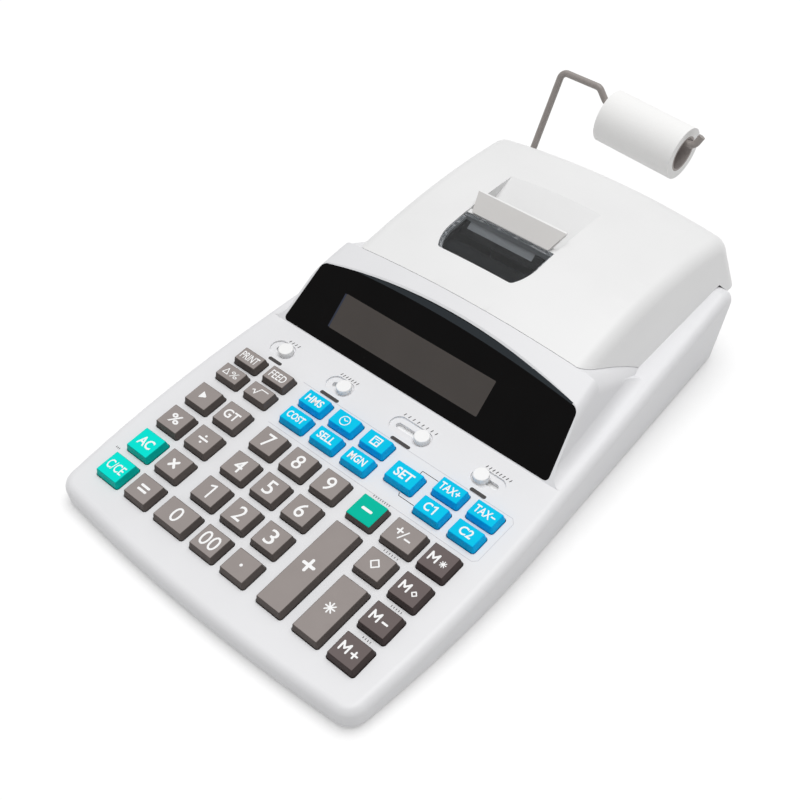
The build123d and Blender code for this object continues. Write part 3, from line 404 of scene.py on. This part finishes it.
both = add(
    tree, "ShaderNodeMix", {"data_type": "RGBA"},
    {0: is_paper.outputs["Value"], 6: card.outputs[2], 7: edges.outputs["Color"]},
)
bump = add(
    tree, "ShaderNodeBump", {"Strength": 0.4, "Distance": 0.03 * MM}, {"Height": fibre.outputs["Fac"]}
)
tree.links.new(both.outputs[2], shader.inputs["Base Color"])
tree.links.new(bump.outputs["Normal"], shader.inputs["Normal"])
shader.inputs["Roughness"].default_value = 0.85
print("roll:", wound_paper.name, "with a core", 2 * CORE_OUTSIDE, "mm across")

# %% [markdown]
# The wire arm has a grey powder coat with a soft sheen and a slight orange peel. The
# platen, the feet and the key mat are rubber, dull and finely pitted.

# %% Coated wire and rubber
wire_coat, tree, shader, place = new_finish("powder_coated_wire_grey")
peel = add(tree, "ShaderNodeTexNoise", {"Scale": per_metre(1.5), "Detail": 3.0}, {"Vector": place})
tint = add(
    tree, "ShaderNodeMix",
    {"data_type": "RGBA", 6: colour("#938C88"), 7: colour("#A19A96")},
    {0: peel.outputs["Fac"]},
)
bump = add(
    tree, "ShaderNodeBump", {"Strength": 0.3, "Distance": 0.03 * MM}, {"Height": peel.outputs["Fac"]}
)
tree.links.new(tint.outputs[2], shader.inputs["Base Color"])
tree.links.new(bump.outputs["Normal"], shader.inputs["Normal"])
shader.inputs["Roughness"].default_value = 0.35


def rubber(name, hex_code, roughness):
    """Ground or moulded rubber: dull, with a fine pitted surface."""
    material, tree, shader, place = new_finish(name)
    pits = add(tree, "ShaderNodeTexNoise", {"Scale": per_metre(0.6), "Detail": 5.0}, {"Vector": place})
    base = colour(hex_code)
    lighter = (*[channel * 1.35 for channel in base[:3]], 1.0)
    tint = add(
        tree, "ShaderNodeMix", {"data_type": "RGBA", 6: base, 7: lighter}, {0: pits.outputs["Fac"]}
    )
    bump = add(
        tree, "ShaderNodeBump",
        {"Strength": 0.5, "Distance": 0.03 * MM},
        {"Height": pits.outputs["Fac"]},
    )
    tree.links.new(tint.outputs[2], shader.inputs["Base Color"])
    tree.links.new(bump.outputs["Normal"], shader.inputs["Normal"])
    shader.inputs["Roughness"].default_value = roughness
    return material


platen_rubber = rubber("ground_rubber_platen", "#1B1C1D", 0.6)
foot_rubber = rubber("moulded_rubber_feet", "#2B2B2C", 0.75)
mat_silicone = rubber("silicone_key_mat", "#8F8F8D", 0.55)
print("wire and rubber:", wire_coat.name, platen_rubber.name, foot_rubber.name, mat_silicone.name)

# %% [markdown]
# Inside, screws and motor are zinc-plated steel, bright with an uneven gloss, and the
# board is covered by green solder mask, under which the copper shows as darker cells.

# %% Steel and board
steel, tree, shader, place = new_finish("zinc_plated_steel")
turning = add(tree, "ShaderNodeTexNoise", {"Scale": per_metre(1.0), "Detail": 4.0}, {"Vector": place})
gloss = add(
    tree, "ShaderNodeMapRange", {"To Min": 0.25, "To Max": 0.4}, {"Value": turning.outputs["Fac"]}
)
tree.links.new(gloss.outputs["Result"], shader.inputs["Roughness"])
shader.inputs["Base Color"].default_value = colour("#B9B8B5")
shader.inputs["Metallic"].default_value = 1.0

solder_mask, tree, shader, place = new_finish("solder_masked_board")
copper = add(tree, "ShaderNodeTexVoronoi", {"Scale": per_metre(5)}, {"Vector": place})
tint = add(
    tree, "ShaderNodeMix",
    {"data_type": "RGBA", 6: colour("#1E6B3C"), 7: colour("#14522D")},
    {0: copper.outputs["Distance"]},
)
tree.links.new(tint.outputs[2], shader.inputs["Base Color"])
shader.inputs["Roughness"].default_value = 0.3
print("inside:", steel.name, solder_mask.name)

# %% [markdown]
# Ink is a dull film that is a little thicker here and thinner there, so its tone varies.
# The legends on the keys are white, and the panel has dark and pale prints.

# %% Inks
white_ink, tree, shader, place = new_finish("pad_printed_ink_white")
film = add(tree, "ShaderNodeTexNoise", {"Scale": per_metre(0.9), "Detail": 3.0}, {"Vector": place})
tint = add(
    tree, "ShaderNodeMix",
    {"data_type": "RGBA", 6: colour("#F0F0F0"), 7: colour("#FAFAFA")},
    {0: film.outputs["Fac"]},
)
tree.links.new(tint.outputs[2], shader.inputs["Base Color"])
shader.inputs["Roughness"].default_value = 0.5


def panel_ink(name, hex_code):
    """Ink printed on the panel, with the slight unevenness of a screen print."""
    material, tree, shader, place = new_finish(name)
    film = add(tree, "ShaderNodeTexNoise", {"Scale": per_metre(0.9), "Detail": 3.0}, {"Vector": place})
    base = colour(hex_code)
    lighter = (*[min(1.0, channel * 1.2) for channel in base[:3]], 1.0)
    tint = add(
        tree, "ShaderNodeMix", {"data_type": "RGBA", 6: base, 7: lighter}, {0: film.outputs["Fac"]}
    )
    tree.links.new(tint.outputs[2], shader.inputs["Base Color"])
    shader.inputs["Roughness"].default_value = 0.5
    return material


dark_ink = panel_ink("screen_printed_ink_dark", "#34302F")
pale_ink = panel_ink("screen_printed_ink_pale", "#C4C4C8")
print("finishes so far:", len(bpy.data.materials))

# %% [markdown]
# CAD nodes whose shape is right only need their finish. The keys are grouped by
# colour, as the photograph shows them.

# %% Finish of the CAD nodes
blue_keys = [
    "time", "clock", "calendar", "cost", "sell", "margin",
    "set", "tax_plus", "tax_minus", "rate_1", "rate_2",
]
dark_keys = ["memory_total", "memory_subtotal", "memory_minus", "memory_plus"]
turquoise_keys = ["all_clear", "clear_entry"]
key_finish = {}
for name in nodes:
    if name.startswith("key_") and name != "key_mat":
        key_finish[name] = grey_key_abs
coloured = ((blue_keys, blue_key_abs), (dark_keys, dark_key_abs), (turquoise_keys, turquoise_key_abs))
for names, finish in coloured:
    for name in names:
        key_finish["key_" + name] = finish
key_finish["key_minus"] = green_top_abs
node_finish = {
    "upper_case": case_abs,
    "lower_case": base_abs,
    "printer_cover": cover_abs,
    "display_lens": lens_acrylic,
    "key_mat": mat_silicone,
    "platen_roller": platen_rubber,
    "paper_arm": wire_coat,
    "paper_roll": wound_paper,
    **key_finish,
}
for name in nodes:
    if name.endswith("_switch_knob"):
        node_finish[name] = knob_abs
for name, finish in node_finish.items():
    nodes[name].data.materials.clear()
    nodes[name].data.materials.append(finish)
print("dressed", len(node_finish), "nodes")

# %% [markdown]
# Some nodes hold several solids of different stuff, such as the window with its tear
# bar. A copy of the node is merged, split into its loose solids, and each of them gets
# its own finish. Together they stand for the node.

# %% Split copies of the mixed nodes


def loose_solids(node, body):
    """Copy a node, split the copy into its solids, and let them stand for the node."""
    bpy.ops.object.select_all(action="DESELECT")
    copy = nodes[node].copy()
    copy.data = nodes[node].data.copy()
    copy.parent = None
    for key in list(copy.keys()):
        del copy[key]
    bpy.context.scene.collection.objects.link(copy)
    bpy.context.view_layer.objects.active = copy
    copy.select_set(True)
    bpy.ops.mesh.customdata_custom_splitnormals_clear()
    bpy.ops.object.mode_set(mode="EDIT")
    bpy.ops.mesh.select_all(action="SELECT")
    bpy.ops.mesh.remove_doubles(threshold=0.002 * MM)
    bpy.ops.mesh.separate(type="LOOSE")
    bpy.ops.object.mode_set(mode="OBJECT")
    pieces = list(bpy.context.selected_objects)
    bpy.ops.object.shade_smooth_by_angle(angle=math.radians(30))
    for piece in pieces:
        piece.data.materials.clear()
        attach(piece, body)
        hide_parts(node)
    return pieces


def size_of(piece):
    """Size of a piece along X, Y and Z."""
    corners = [vertex.co for vertex in piece.data.vertices]
    return [max(c[axis] for c in corners) - min(c[axis] for c in corners) for axis in range(3)]


def name_and_finish(piece, name, finish):
    """Give a piece its name and its one finish."""
    piece.name = name
    piece.data.name = name
    piece.data.materials.append(finish)


def by_size(pieces, axis):
    """Pieces in the order of their size along an axis."""
    return sorted(pieces, key=lambda piece: size_of(piece)[axis])


tear_bar, print_window = by_size(loose_solids("tear_window", "cover"), 1)
name_and_finish(tear_bar, "tear_bar", bar_abs)
name_and_finish(print_window, "print_window", smoked_window)

FOOT_HEIGHT_BELOW = 4.0   # a foot is lower than this, a screw is taller
for count, piece in enumerate(loose_solids("screw_feet", "case")):
    if size_of(piece)[2] < FOOT_HEIGHT_BELOW * MM:
        name_and_finish(piece, f"rubber_foot_{count}", foot_rubber)
    else:
        name_and_finish(piece, f"case_screw_{count}", steel)

inlet, module, board = by_size(loose_solids("circuit_boards", "case"), 0)
name_and_finish(inlet, "power_inlet", dark_frame_abs)
name_and_finish(module, "display_module", lcd_film)
name_and_finish(board, "key_board", solder_mask)

motor, printer_frame = by_size(loose_solids("printer_mechanism", "case"), 0)
name_and_finish(motor, "printer_motor", steel)
name_and_finish(printer_frame, "printer_frame", frame_abs)
print("window, feet, boards and printer split into their solids")

# %% [markdown]
# The tear bar's upper edge is rolled over to a round lip: a cylinder with its ends
# bevelled. It takes the whiter knob finish, a painted highlight along the bar's edge. Under
# the window a pale deflector leads the paper up: a grid laid on a slight curve and given the
# thickness of a sheet. Places are in millimetres, with y from the panel's origin.

# %% Lip of the tear bar, and paper deflector
LIP_RADIUS, LIP_LENGTH, LIP_ROUNDING = 0.85, 55.2, 0.3
LIP_X, LIP_Y, LIP_Z = -10.5, 215.46, 79.2
bpy.ops.object.select_all(action="DESELECT")
bpy.ops.mesh.primitive_cylinder_add(
    vertices=24, radius=LIP_RADIUS * MM, depth=LIP_LENGTH * MM, rotation=(0, math.pi / 2, 0)
)
lip = bpy.context.object
lip.location = (LIP_X * MM, panel_origin.y + LIP_Y * MM, LIP_Z * MM)
rounding = lip.modifiers.new("rounding", "BEVEL")
rounding.width = LIP_ROUNDING * MM
rounding.segments = 3
bpy.ops.object.modifier_apply(modifier=rounding.name)
bpy.ops.object.transform_apply(location=True, rotation=True, scale=True)
bpy.ops.object.shade_smooth_by_angle(angle=math.radians(30))
# The lip is finished whiter than the bar: a painted highlight along its edge.
name_and_finish(lip, "tear_bar_lip_painted_highlight", knob_abs)
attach(lip, "cover")

DEFLECTOR_X, DEFLECTOR_HALF_WIDTH, DEFLECTOR_THICKNESS = -14, 20.5, 0.25
DEFLECTOR_Y, DEFLECTOR_Z = 202.4, 64.2    # its lower edge
DEFLECTOR_RUN, DEFLECTOR_RISE, DEFLECTOR_CURVE = 3.9, 3.3, 0.3
bpy.ops.object.select_all(action="DESELECT")
bpy.ops.mesh.primitive_grid_add(x_subdivisions=2, y_subdivisions=6, size=2)
deflector = bpy.context.object
for vertex in deflector.data.vertices:
    share = (vertex.co.y + 1) / 2
    x = DEFLECTOR_X + DEFLECTOR_HALF_WIDTH * vertex.co.x
    y = DEFLECTOR_Y + DEFLECTOR_RUN * share
    z = DEFLECTOR_Z + DEFLECTOR_RISE * share - DEFLECTOR_CURVE * share ** 2
    vertex.co = (x * MM, panel_origin.y + y * MM, z * MM)
sheet = deflector.modifiers.new("sheet", "SOLIDIFY")
sheet.thickness = DEFLECTOR_THICKNESS * MM
bpy.ops.object.modifier_apply(modifier=sheet.name)
bpy.ops.object.shade_smooth_by_angle(angle=math.radians(30))
name_and_finish(deflector, "paper_deflector", knob_abs)
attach(deflector, "case")
print("lip", [round(side / MM, 1) for side in size_of(lip)], "mm")
print("deflector", [round(side / MM, 1) for side in size_of(deflector)], "mm")

# %% [markdown]
# Legends are pad-printed: a film of ink a few hundredths of a millimetre thick. Words
# come from a text object that is turned into a mesh and fitted to a width and height.
# Signs such as plus or the diamond are drawn with round-ended strokes, each a circle
# pulled out to a bar, because a font's signs are too thin for a key. Strokes that cross
# are merged by a union, so that no faces lie inside the ink.

# %% Lettering and strokes
INK = 0.04        # thickness of the film
OFF_AXIS = 0.001  # turns a circle a hair, so that none of its vertices lies on the dividing line


def one_object(pieces, name):
    """Join pieces to one object with that name, and merge what overlaps."""
    bpy.ops.object.select_all(action="DESELECT")
    for piece in pieces:
        piece.select_set(True)
    bpy.context.view_layer.objects.active = pieces[0]
    if len(pieces) > 1:
        bpy.ops.object.join()
        bpy.ops.object.mode_set(mode="EDIT")
        bpy.ops.mesh.select_all(action="SELECT")
        bpy.ops.mesh.intersect_boolean(operation="UNION", use_self=True, solver="EXACT")
        bpy.ops.object.mode_set(mode="OBJECT")
    joined = bpy.context.object
    joined.name = name
    joined.data.name = name
    return joined


def put(piece, matrix):
    """Move a piece by a matrix and leave its place in its mesh."""
    bpy.ops.object.select_all(action="DESELECT")
    piece.matrix_world = matrix @ piece.matrix_world
    piece.select_set(True)
    bpy.context.view_layer.objects.active = piece
    bpy.ops.object.transform_apply(location=True, rotation=True, scale=True)
    return piece


def letters(words, width, height, weight=0.0):
    """Flat letters, centred, fitted to a width and height in millimetres."""
    bpy.ops.object.select_all(action="DESELECT")
    bpy.ops.object.text_add()
    sign = bpy.context.object
    sign.data.body = words
    sign.data.offset = weight
    sign.data.extrude = 0.1
    sign.data.resolution_u = 4
    bpy.ops.object.convert(target="MESH")
    sign = bpy.context.object
    corners = [vertex.co for vertex in sign.data.vertices]
    low = Vector([min(c[axis] for c in corners) for axis in range(3)])
    high = Vector([max(c[axis] for c in corners) for axis in range(3)])
    span = high - low
    scale = Matrix.Diagonal((width * MM / span.x, height * MM / span.y, INK * MM / span.z, 1))
    return put(sign, scale @ Matrix.Translation(-(low + high) / 2))


def stroke(start, end, width):
    """Round-ended bar of ink between two points, in millimetres."""
    bpy.ops.object.select_all(action="DESELECT")
    bpy.ops.mesh.primitive_circle_add(
        vertices=16, radius=width / 2 * MM, fill_type="NGON", rotation=(0, 0, OFF_AXIS)
    )
    bar = bpy.context.object
    bpy.ops.object.transform_apply(rotation=True)
    run = Vector(end) - Vector(start)
    bpy.ops.object.mode_set(mode="EDIT")
    bpy.ops.mesh.select_all(action="DESELECT")
    bpy.ops.object.mode_set(mode="OBJECT")
    for vertex in bar.data.vertices:
        vertex.select = vertex.co.x > 0
    bpy.ops.object.mode_set(mode="EDIT")
    bpy.ops.transform.translate(value=(run.length * MM, 0, 0))
    bpy.ops.mesh.select_all(action="SELECT")
    bpy.ops.mesh.extrude_region_move(TRANSFORM_OT_translate={"value": (0, 0, INK * MM)})
    bpy.ops.mesh.select_all(action="SELECT")
    bpy.ops.mesh.normals_make_consistent(inside=False)
    bpy.ops.object.mode_set(mode="OBJECT")
    turn = Matrix.Rotation(math.atan2(run.y, run.x), 4, "Z")
    return put(bar, Matrix.Translation((start[0] * MM, start[1] * MM, -INK / 2 * MM)) @ turn)


def path(points, width, closed=False):
    """Strokes along a run of points."""
    following = points[1:] + points[:1] if closed else points[1:]
    return [stroke(start, end, width) for start, end in zip(points, following)]


def dot(x, y, width):
    """Round dot: a very short stroke."""
    return path([(x, y), (x + 0.01, y)], width)


def ring(radius, width, sides=20):
    """Strokes round a circle."""
    turns = [2 * math.pi * side / sides for side in range(sides)]
    points = [(radius * math.cos(turn), radius * math.sin(turn)) for turn in turns]
    return path(points, width, closed=True)


print("ink is", INK, "mm thick")

# %% [markdown]
# A legend goes to the middle of its key's top face, and rides on the key.

# %% Legends of the keys


def print_on_key(name, pieces):
    """Join a legend and lay it on its key."""
    legend = one_object(pieces, "legend_" + name)
    turn = Matrix((across, panel_up, panel_normal)).transposed().to_4x4()
    put(legend, Matrix.Translation(key_top(name) + panel_normal * 0.6 * INK * MM) @ turn)
    legend.data.materials.clear()
    legend.data.materials.append(white_ink)
    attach(legend, name)
    return legend


# Word, width, height and weight of each legend.
words = {
    "key_print": ("PRINT", 11.0, 4.4, 0.01),
    "key_feed": ("FEED", 10.0, 4.4, 0.01),
    "key_grand_total": ("GT", 9.0, 5.2, 0.02),
    "key_percent": ("%", 6.6, 5.6, 0.02),
    "key_all_clear": ("AC", 8.8, 5.4, 0.02),
    "key_clear_entry": ("C/CE", 10.6, 5.0, 0.01),
    "key_time": ("HMS", 10.0, 4.3, 0.02),
    "key_cost": ("COST", 10.4, 4.0, 0.02),
    "key_sell": ("SELL", 9.6, 4.3, 0.02),
    "key_margin": ("MGN", 9.8, 4.3, 0.02),
    "key_set": ("SET", 10.0, 5.0, 0.02),
    "key_tax_plus": ("TAX+", 11.0, 4.2, 0.02),
    "key_tax_minus": ("TAX−", 11.0, 4.2, 0.02),
    "key_rate_2": ("C2", 6.8, 4.6, 0.02),
    "key_00": ("00", 10.0, 7.6, 0.0),
    "key_0": ("0", 5.0, 7.8, 0.0),
}
for digit in range(2, 10):
    words[f"key_{digit}"] = (str(digit), 4.9, 7.8, 0.005)
for name, (text, width, height, weight) in words.items():
    print_on_key(name, [letters(text, width, height, weight)])
print("worded keys:", len(words))

# %% [markdown]
# The other keys carry signs. Each is a few strokes in millimetres round the middle of
# the key, and those that several keys share, such as the star, have a function.

# %% Signs of the keys


def moved(pieces, x, y):
    """Shift flat pieces in millimetres."""
    return [put(piece, Matrix.Translation((x * MM, y * MM, 0))) for piece in pieces]


def one(height, width):
    """The digit 1, with its flag."""
    outline = [(-0.22, 0.32), (0.08, 0.46), (0.08, -0.46)]
    return path([(x * height, y * height) for x, y in outline], width)


def letter_m(width):
    """A bold M."""
    return moved(path([(-1.9, -2.0), (-1.9, 2.0), (0, -0.6), (1.9, 2.0), (1.9, -2.0)], width), -2.6, 0)


def diamond(half, width):
    """A square on its corner."""
    return path([(half, 0), (0, half), (-half, 0), (0, -half)], width, closed=True)


def star(reach, spokes, width):
    """Strokes through the middle, evenly turned."""
    turns = [math.pi * spoke / spokes for spoke in range(spokes)]
    tips = [(reach * math.cos(turn), reach * math.sin(turn)) for turn in turns]
    return [stroke((-x, -y), (x, y), width) for x, y in tips]


def dash(x, y, half, width):
    """A level stroke."""
    return path([(x - half, y), (x + half, y)], width)


print_on_key("key_1", one(7.8, 1.0))
print_on_key(
    "key_rate_1", moved([letters("C", 3.6, 4.6, 0.02)], -1.9, 0) + moved(one(4.6, 0.8), 1.8, 0)
)
print_on_key("key_plus", star(2.9, 2, 1.6))
print_on_key("key_minus", dash(0, 0, 2.3, 1.5))
print_on_key("key_equals", dash(0, 1.2, 2.3, 1.3) + dash(0, -1.2, 2.3, 1.3))
print_on_key(
    "key_multiply", path([(-1.7, -1.7), (1.7, 1.7)], 1.4) + path([(-1.7, 1.7), (1.7, -1.7)], 1.4)
)
print_on_key("key_divide", dash(0, 0, 2.6, 1.1) + dot(0, 2.0, 1.3) + dot(0, -2.0, 1.3))
print_on_key("key_root", path([(-4.0, -0.4), (-3.0, 0.2), (-1.8, -2.0), (-0.2, 2.0), (4.2, 2.0)], 0.6))
print_on_key("key_point", dot(0, 0, 1.5))
print_on_key("key_subtotal", diamond(2.4, 0.7))
print_on_key("key_total", star(2.5, 4, 0.7))
print_on_key(
    "key_percent_change",
    path([(-4.6, -1.6), (-3.0, 1.8), (-1.4, -1.6)], 0.5, closed=True)
    + moved([letters("%", 5.0, 3.6)], 2.2, 0),
)
print_on_key(
    "key_sign",
    moved(star(1.5, 2, 0.9), -2.9, 1.1)
    + path([(-1.3, -2.5), (1.1, 2.5)], 0.7)
    + dash(3.0, -1.2, 1.3, 0.9),
)
triangle = []
for step in range(8):
    x, half = -1.6 + 0.4 * step, 1.8 - 0.225 * step
    triangle.append(stroke((x, -half), (x, half), 0.6))
print_on_key("key_arrow", triangle)
print_on_key("key_clock", ring(2.6, 0.5) + path([(-1.0, 0.9), (0, 0), (1.2, 0.5)], 0.5))
print_on_key(
    "key_calendar",
    path([(-2.2, -2.2), (2.2, -2.2), (2.2, 2.2), (-2.2, 2.2)], 0.8, closed=True)
    + path([(-1.2, 1.0), (1.0, 1.0)], 0.5)
    + path([(0.2, -1.8), (0.2, -0.2), (1.8, -0.2)], 0.5),
)
print_on_key("key_memory_total", letter_m(0.95) + moved(star(1.5, 4, 0.5), 2.9, -0.5))
print_on_key("key_memory_subtotal", letter_m(0.95) + moved(diamond(1.3, 0.6), 2.9, -0.7))
print_on_key("key_memory_minus", letter_m(0.95) + moved(dash(0, 0, 1.2, 1.0), 2.9, -0.5))
print_on_key("key_memory_plus", letter_m(0.95) + moved(star(1.5, 2, 0.9), 2.9, -0.5))

# %% [markdown]
# The panel carries a few printed graphics: dark pills under the switches, rows of
# ticks over them and by some keys, a thin pale frame round the blue keys, and two
# brackets that tie the set key to its neighbours. Places are in millimetres across and
# up the panel.

# %% Printed graphics on the panel


def print_on_panel(name, pieces, ink):
    """Join printed strokes and lay them on the panel."""
    graphic = one_object(pieces, name)
    put(graphic, lay(panel_origin, panel_up, panel_normal, 0, 0, 0.6 * INK))
    graphic.data.materials.clear()
    graphic.data.materials.append(ink)
    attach(graphic, "case")
    return graphic


def tick_row(left, right, v, count, lean, height, width):
    """Evenly spaced ticks along the panel."""
    step = (right - left) / (count - 1)
    places = [left + step * tick for tick in range(count)]
    return [stroke((x - lean, v - height / 2), (x + lean, v + height / 2), width) for x in places]


PILL_V, PILL_WIDTH = 94.6, 2.0
pills = [(-70.1, -63.2), (-33.8, -23.8), (12.3, 22.1), (60.2, 67.3)]
for number, (left, right) in enumerate(pills):
    pill = stroke((left, PILL_V), (right, PILL_V), PILL_WIDTH)
    print_on_panel(f"switch_pill_{number}", [pill], dark_ink)

SWITCH_TICKS_V = 108.8
switch_rows = [(-69.9, -63.7, 4), (-33.9, -23.3, 7), (7.8, 27.2, 8), (57.6, 71.1, 8)]
for number, (left, right, count) in enumerate(switch_rows):
    ticks = tick_row(left, right, SWITCH_TICKS_V, count, lean=0.2, height=1.2, width=0.45)
    print_on_panel(f"switch_ticks_{number}", ticks, dark_ink)

key_rows = [
    (-87.6, -85.6, 9.4, 3),
    (28.2, 37.4, 64.7, 8),
    (51.4, 59.0, 46.0, 6),
    (72.4, 77.8, 27.5, 5),
    (73.2, 77.2, 9.2, 4),
]
for number, (left, right, v, count) in enumerate(key_rows):
    ticks = tick_row(left, right, v, count, lean=0.0, height=0.7, width=0.35)
    print_on_panel(f"key_ticks_{number}", ticks, dark_ink)

ZONE_LOW, ZONE_HIGH, ZONE_END, ZONE_CORNER, ZONE_LINE = 65.2, 93.4, 86.4, 2.0, 0.3
zone_bend = ZONE_END - ZONE_CORNER
zone = path([(-41, ZONE_LOW), (zone_bend, ZONE_LOW)], ZONE_LINE)
zone += path([(-45, ZONE_HIGH), (zone_bend, ZONE_HIGH)], ZONE_LINE)
zone_end = [
    (zone_bend, ZONE_LOW),
    (ZONE_END, ZONE_LOW + ZONE_CORNER),
    (ZONE_END, ZONE_HIGH - ZONE_CORNER),
    (zone_bend, ZONE_HIGH),
]
print_on_panel("blue_key_frame", zone + path(zone_end, ZONE_LINE), pale_ink)

BRACKET_LINE = 0.35
brackets = path([(36.4, 86.9), (36.4, 88.5), (45.6, 88.5)], BRACKET_LINE)
brackets += path([(36.0, 73.0), (36.8, 71.6), (45.6, 71.6)], BRACKET_LINE)
print_on_panel("set_key_brackets", brackets, dark_ink)
print("panel graphics laid")

# %% [markdown]
# The display shows through a rectangle of the lens that isn't printed black. It is a
# thin film here: a plane with bevelled corners, pulled up a few hundredths.

# %% Display window
DISPLAY_WIDTH, DISPLAY_HEIGHT, DISPLAY_CORNER = 95.4, 19.0, 0.6
DISPLAY_X, DISPLAY_V = -9.7, 18.5   # its middle, across and up the lens
FILM_LIFT = 0.01                    # films lie this far above the lens
bpy.ops.object.select_all(action="DESELECT")
bpy.ops.mesh.primitive_plane_add(size=1)
display = bpy.context.object
display.name = "lcd_window"
display.scale = (DISPLAY_WIDTH * MM, DISPLAY_HEIGHT * MM, 1)
bpy.ops.object.transform_apply(scale=True)
bpy.ops.object.mode_set(mode="EDIT")
bpy.ops.mesh.select_all(action="SELECT")
bpy.ops.mesh.bevel(offset=DISPLAY_CORNER * MM, segments=4, affect="VERTICES")
bpy.ops.mesh.select_all(action="SELECT")
bpy.ops.mesh.extrude_region_move(TRANSFORM_OT_translate={"value": (0, 0, INK * MM)})
bpy.ops.mesh.select_all(action="SELECT")
bpy.ops.mesh.normals_make_consistent(inside=False)
bpy.ops.object.mode_set(mode="OBJECT")
put(display, lay(lens_origin, lens_up, lens_normal, DISPLAY_X, DISPLAY_V, FILM_LIFT))
display.data.materials.append(lcd_film)
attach(display, "case")
print("display window", [round(side / MM, 1) for side in size_of(display)], "mm")

# %% [markdown]
# Two more films are painted highlights, where edges catch the light: a grey band along the
# lens's upper edge, between two shallow curves, and a narrow strip at the display's left end.

# %% Painted highlights on the edges of the lens and the display


def through(points):
    """Parabola through three points."""
    (x0, y0), (x1, y1), (x2, y2) = points

    def height(x):
        first = y0 * (x - x1) * (x - x2) / ((x0 - x1) * (x0 - x2))
        second = y1 * (x - x0) * (x - x2) / ((x1 - x0) * (x1 - x2))
        return first + second + y2 * (x - x0) * (x - x1) / ((x2 - x0) * (x2 - x1))

    return height


def lens_film(name, left, right, low, high, finish):
    """Thin film on the lens between two curves, in millimetres."""
    bpy.ops.object.select_all(action="DESELECT")
    bpy.ops.mesh.primitive_grid_add(x_subdivisions=40, y_subdivisions=1, size=2)
    film = bpy.context.object
    film.name = name
    film.data.name = name
    for vertex in film.data.vertices:
        x = left + (right - left) * (vertex.co.x + 1) / 2
        vertex.co = (x * MM, (high(x) if vertex.co.y > 0 else low(x)) * MM, 0)
    bpy.ops.object.mode_set(mode="EDIT")
    bpy.ops.mesh.select_all(action="SELECT")
    bpy.ops.mesh.extrude_region_move(TRANSFORM_OT_translate={"value": (0, 0, INK / 2 * MM)})
    bpy.ops.mesh.select_all(action="SELECT")
    bpy.ops.mesh.normals_make_consistent(inside=False)
    bpy.ops.object.mode_set(mode="OBJECT")
    put(film, lay(lens_origin, lens_up, lens_normal, 0, 0, FILM_LIFT))
    film.data.materials.append(finish)
    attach(film, "case")
    return film


BAND_LEFT, BAND_MIDDLE, BAND_RIGHT = -58, 12, 76
band_low = through([(BAND_LEFT, 40.0), (BAND_MIDDLE, 41.2), (BAND_RIGHT, 36.2)])
band_high = through([(BAND_LEFT, 40.3), (BAND_MIDDLE, 45.0), (BAND_RIGHT, 37.2)])
# Painted highlights: the lens's lit upper edge and the display's lit left end.
band = lens_film("lens_upper_edge_painted_highlight", BAND_LEFT, BAND_RIGHT, band_low, band_high, lens_edge)
strip = lens_film("lcd_left_edge_painted_highlight", -58.4, -57.3, lambda x: 9.2, lambda x: 27.8, lcd_edge)
print("edge films:", band.name, strip.name)

# %% [markdown]
# A white studio: an even sky, one large soft sun from above, and a pale floor that
# takes the shadow. For camera, mirror and glass rays the floor glows a little as well,
# so that it reads as white without any more light on the object.

# %% Light and floor
world = bpy.data.worlds.new("studio")
bpy.context.scene.world = world
world.use_nodes = True
tree = world.node_tree
tree.nodes.clear()
rays = add(tree, "ShaderNodeLightPath")
seen = add(
    tree, "ShaderNodeMath", {"operation": "MAXIMUM"},
    {0: rays.outputs["Is Camera Ray"], 1: rays.outputs["Is Transmission Ray"]},
)
sky = add(tree, "ShaderNodeBackground", {"Color": colour("#F6F6F6"), "Strength": 0.48})
white = add(tree, "ShaderNodeBackground", {"Color": (1, 1, 1, 1), "Strength": 1.0})
both = add(
    tree, "ShaderNodeMixShader",
    links={0: seen.outputs["Value"], 1: sky.outputs[0], 2: white.outputs[0]},
)
add(tree, "ShaderNodeOutputWorld", links={"Surface": both.outputs[0]})

sun_data = bpy.data.lights.new("overhead_softbox", "SUN")
sun_data.energy = 1.85
sun_data.angle = math.radians(50)
sun = bpy.data.objects.new("overhead_softbox", sun_data)
bpy.context.scene.collection.objects.link(sun)
sun.rotation_euler = Vector((0.0, -0.12, -1)).to_track_quat("-Z", "Y").to_euler()

bpy.ops.object.select_all(action="DESELECT")
bpy.ops.mesh.primitive_plane_add(size=8, location=(0, 0, 0))
floor = bpy.context.object
floor.name = "floor"
floor_paint, tree, shader, place = new_finish("matt_white_floor")
shader.inputs["Base Color"].default_value = colour("#DCDCDC")
shader.inputs["Roughness"].default_value = 0.9
rays = add(tree, "ShaderNodeLightPath")
glossy = add(
    tree, "ShaderNodeMath", {"operation": "MAXIMUM"},
    {0: rays.outputs["Is Camera Ray"], 1: rays.outputs["Is Glossy Ray"]},
)
seen = add(
    tree, "ShaderNodeMath", {"operation": "MAXIMUM"},
    {0: glossy.outputs["Value"], 1: rays.outputs["Is Transmission Ray"]},
)
glow = add(tree, "ShaderNodeMath", {"operation": "MULTIPLY", 1: 0.29}, {0: seen.outputs["Value"]})
tree.links.new(glow.outputs["Value"], shader.inputs["Emission Strength"])
shader.inputs["Emission Color"].default_value = (1, 1, 1, 1)
floor.data.materials.append(floor_paint)
print("floor and light set")

# %% [markdown]
# Last, a short line says that the scene is dressed.

# %% Finish
print("scene dressed")
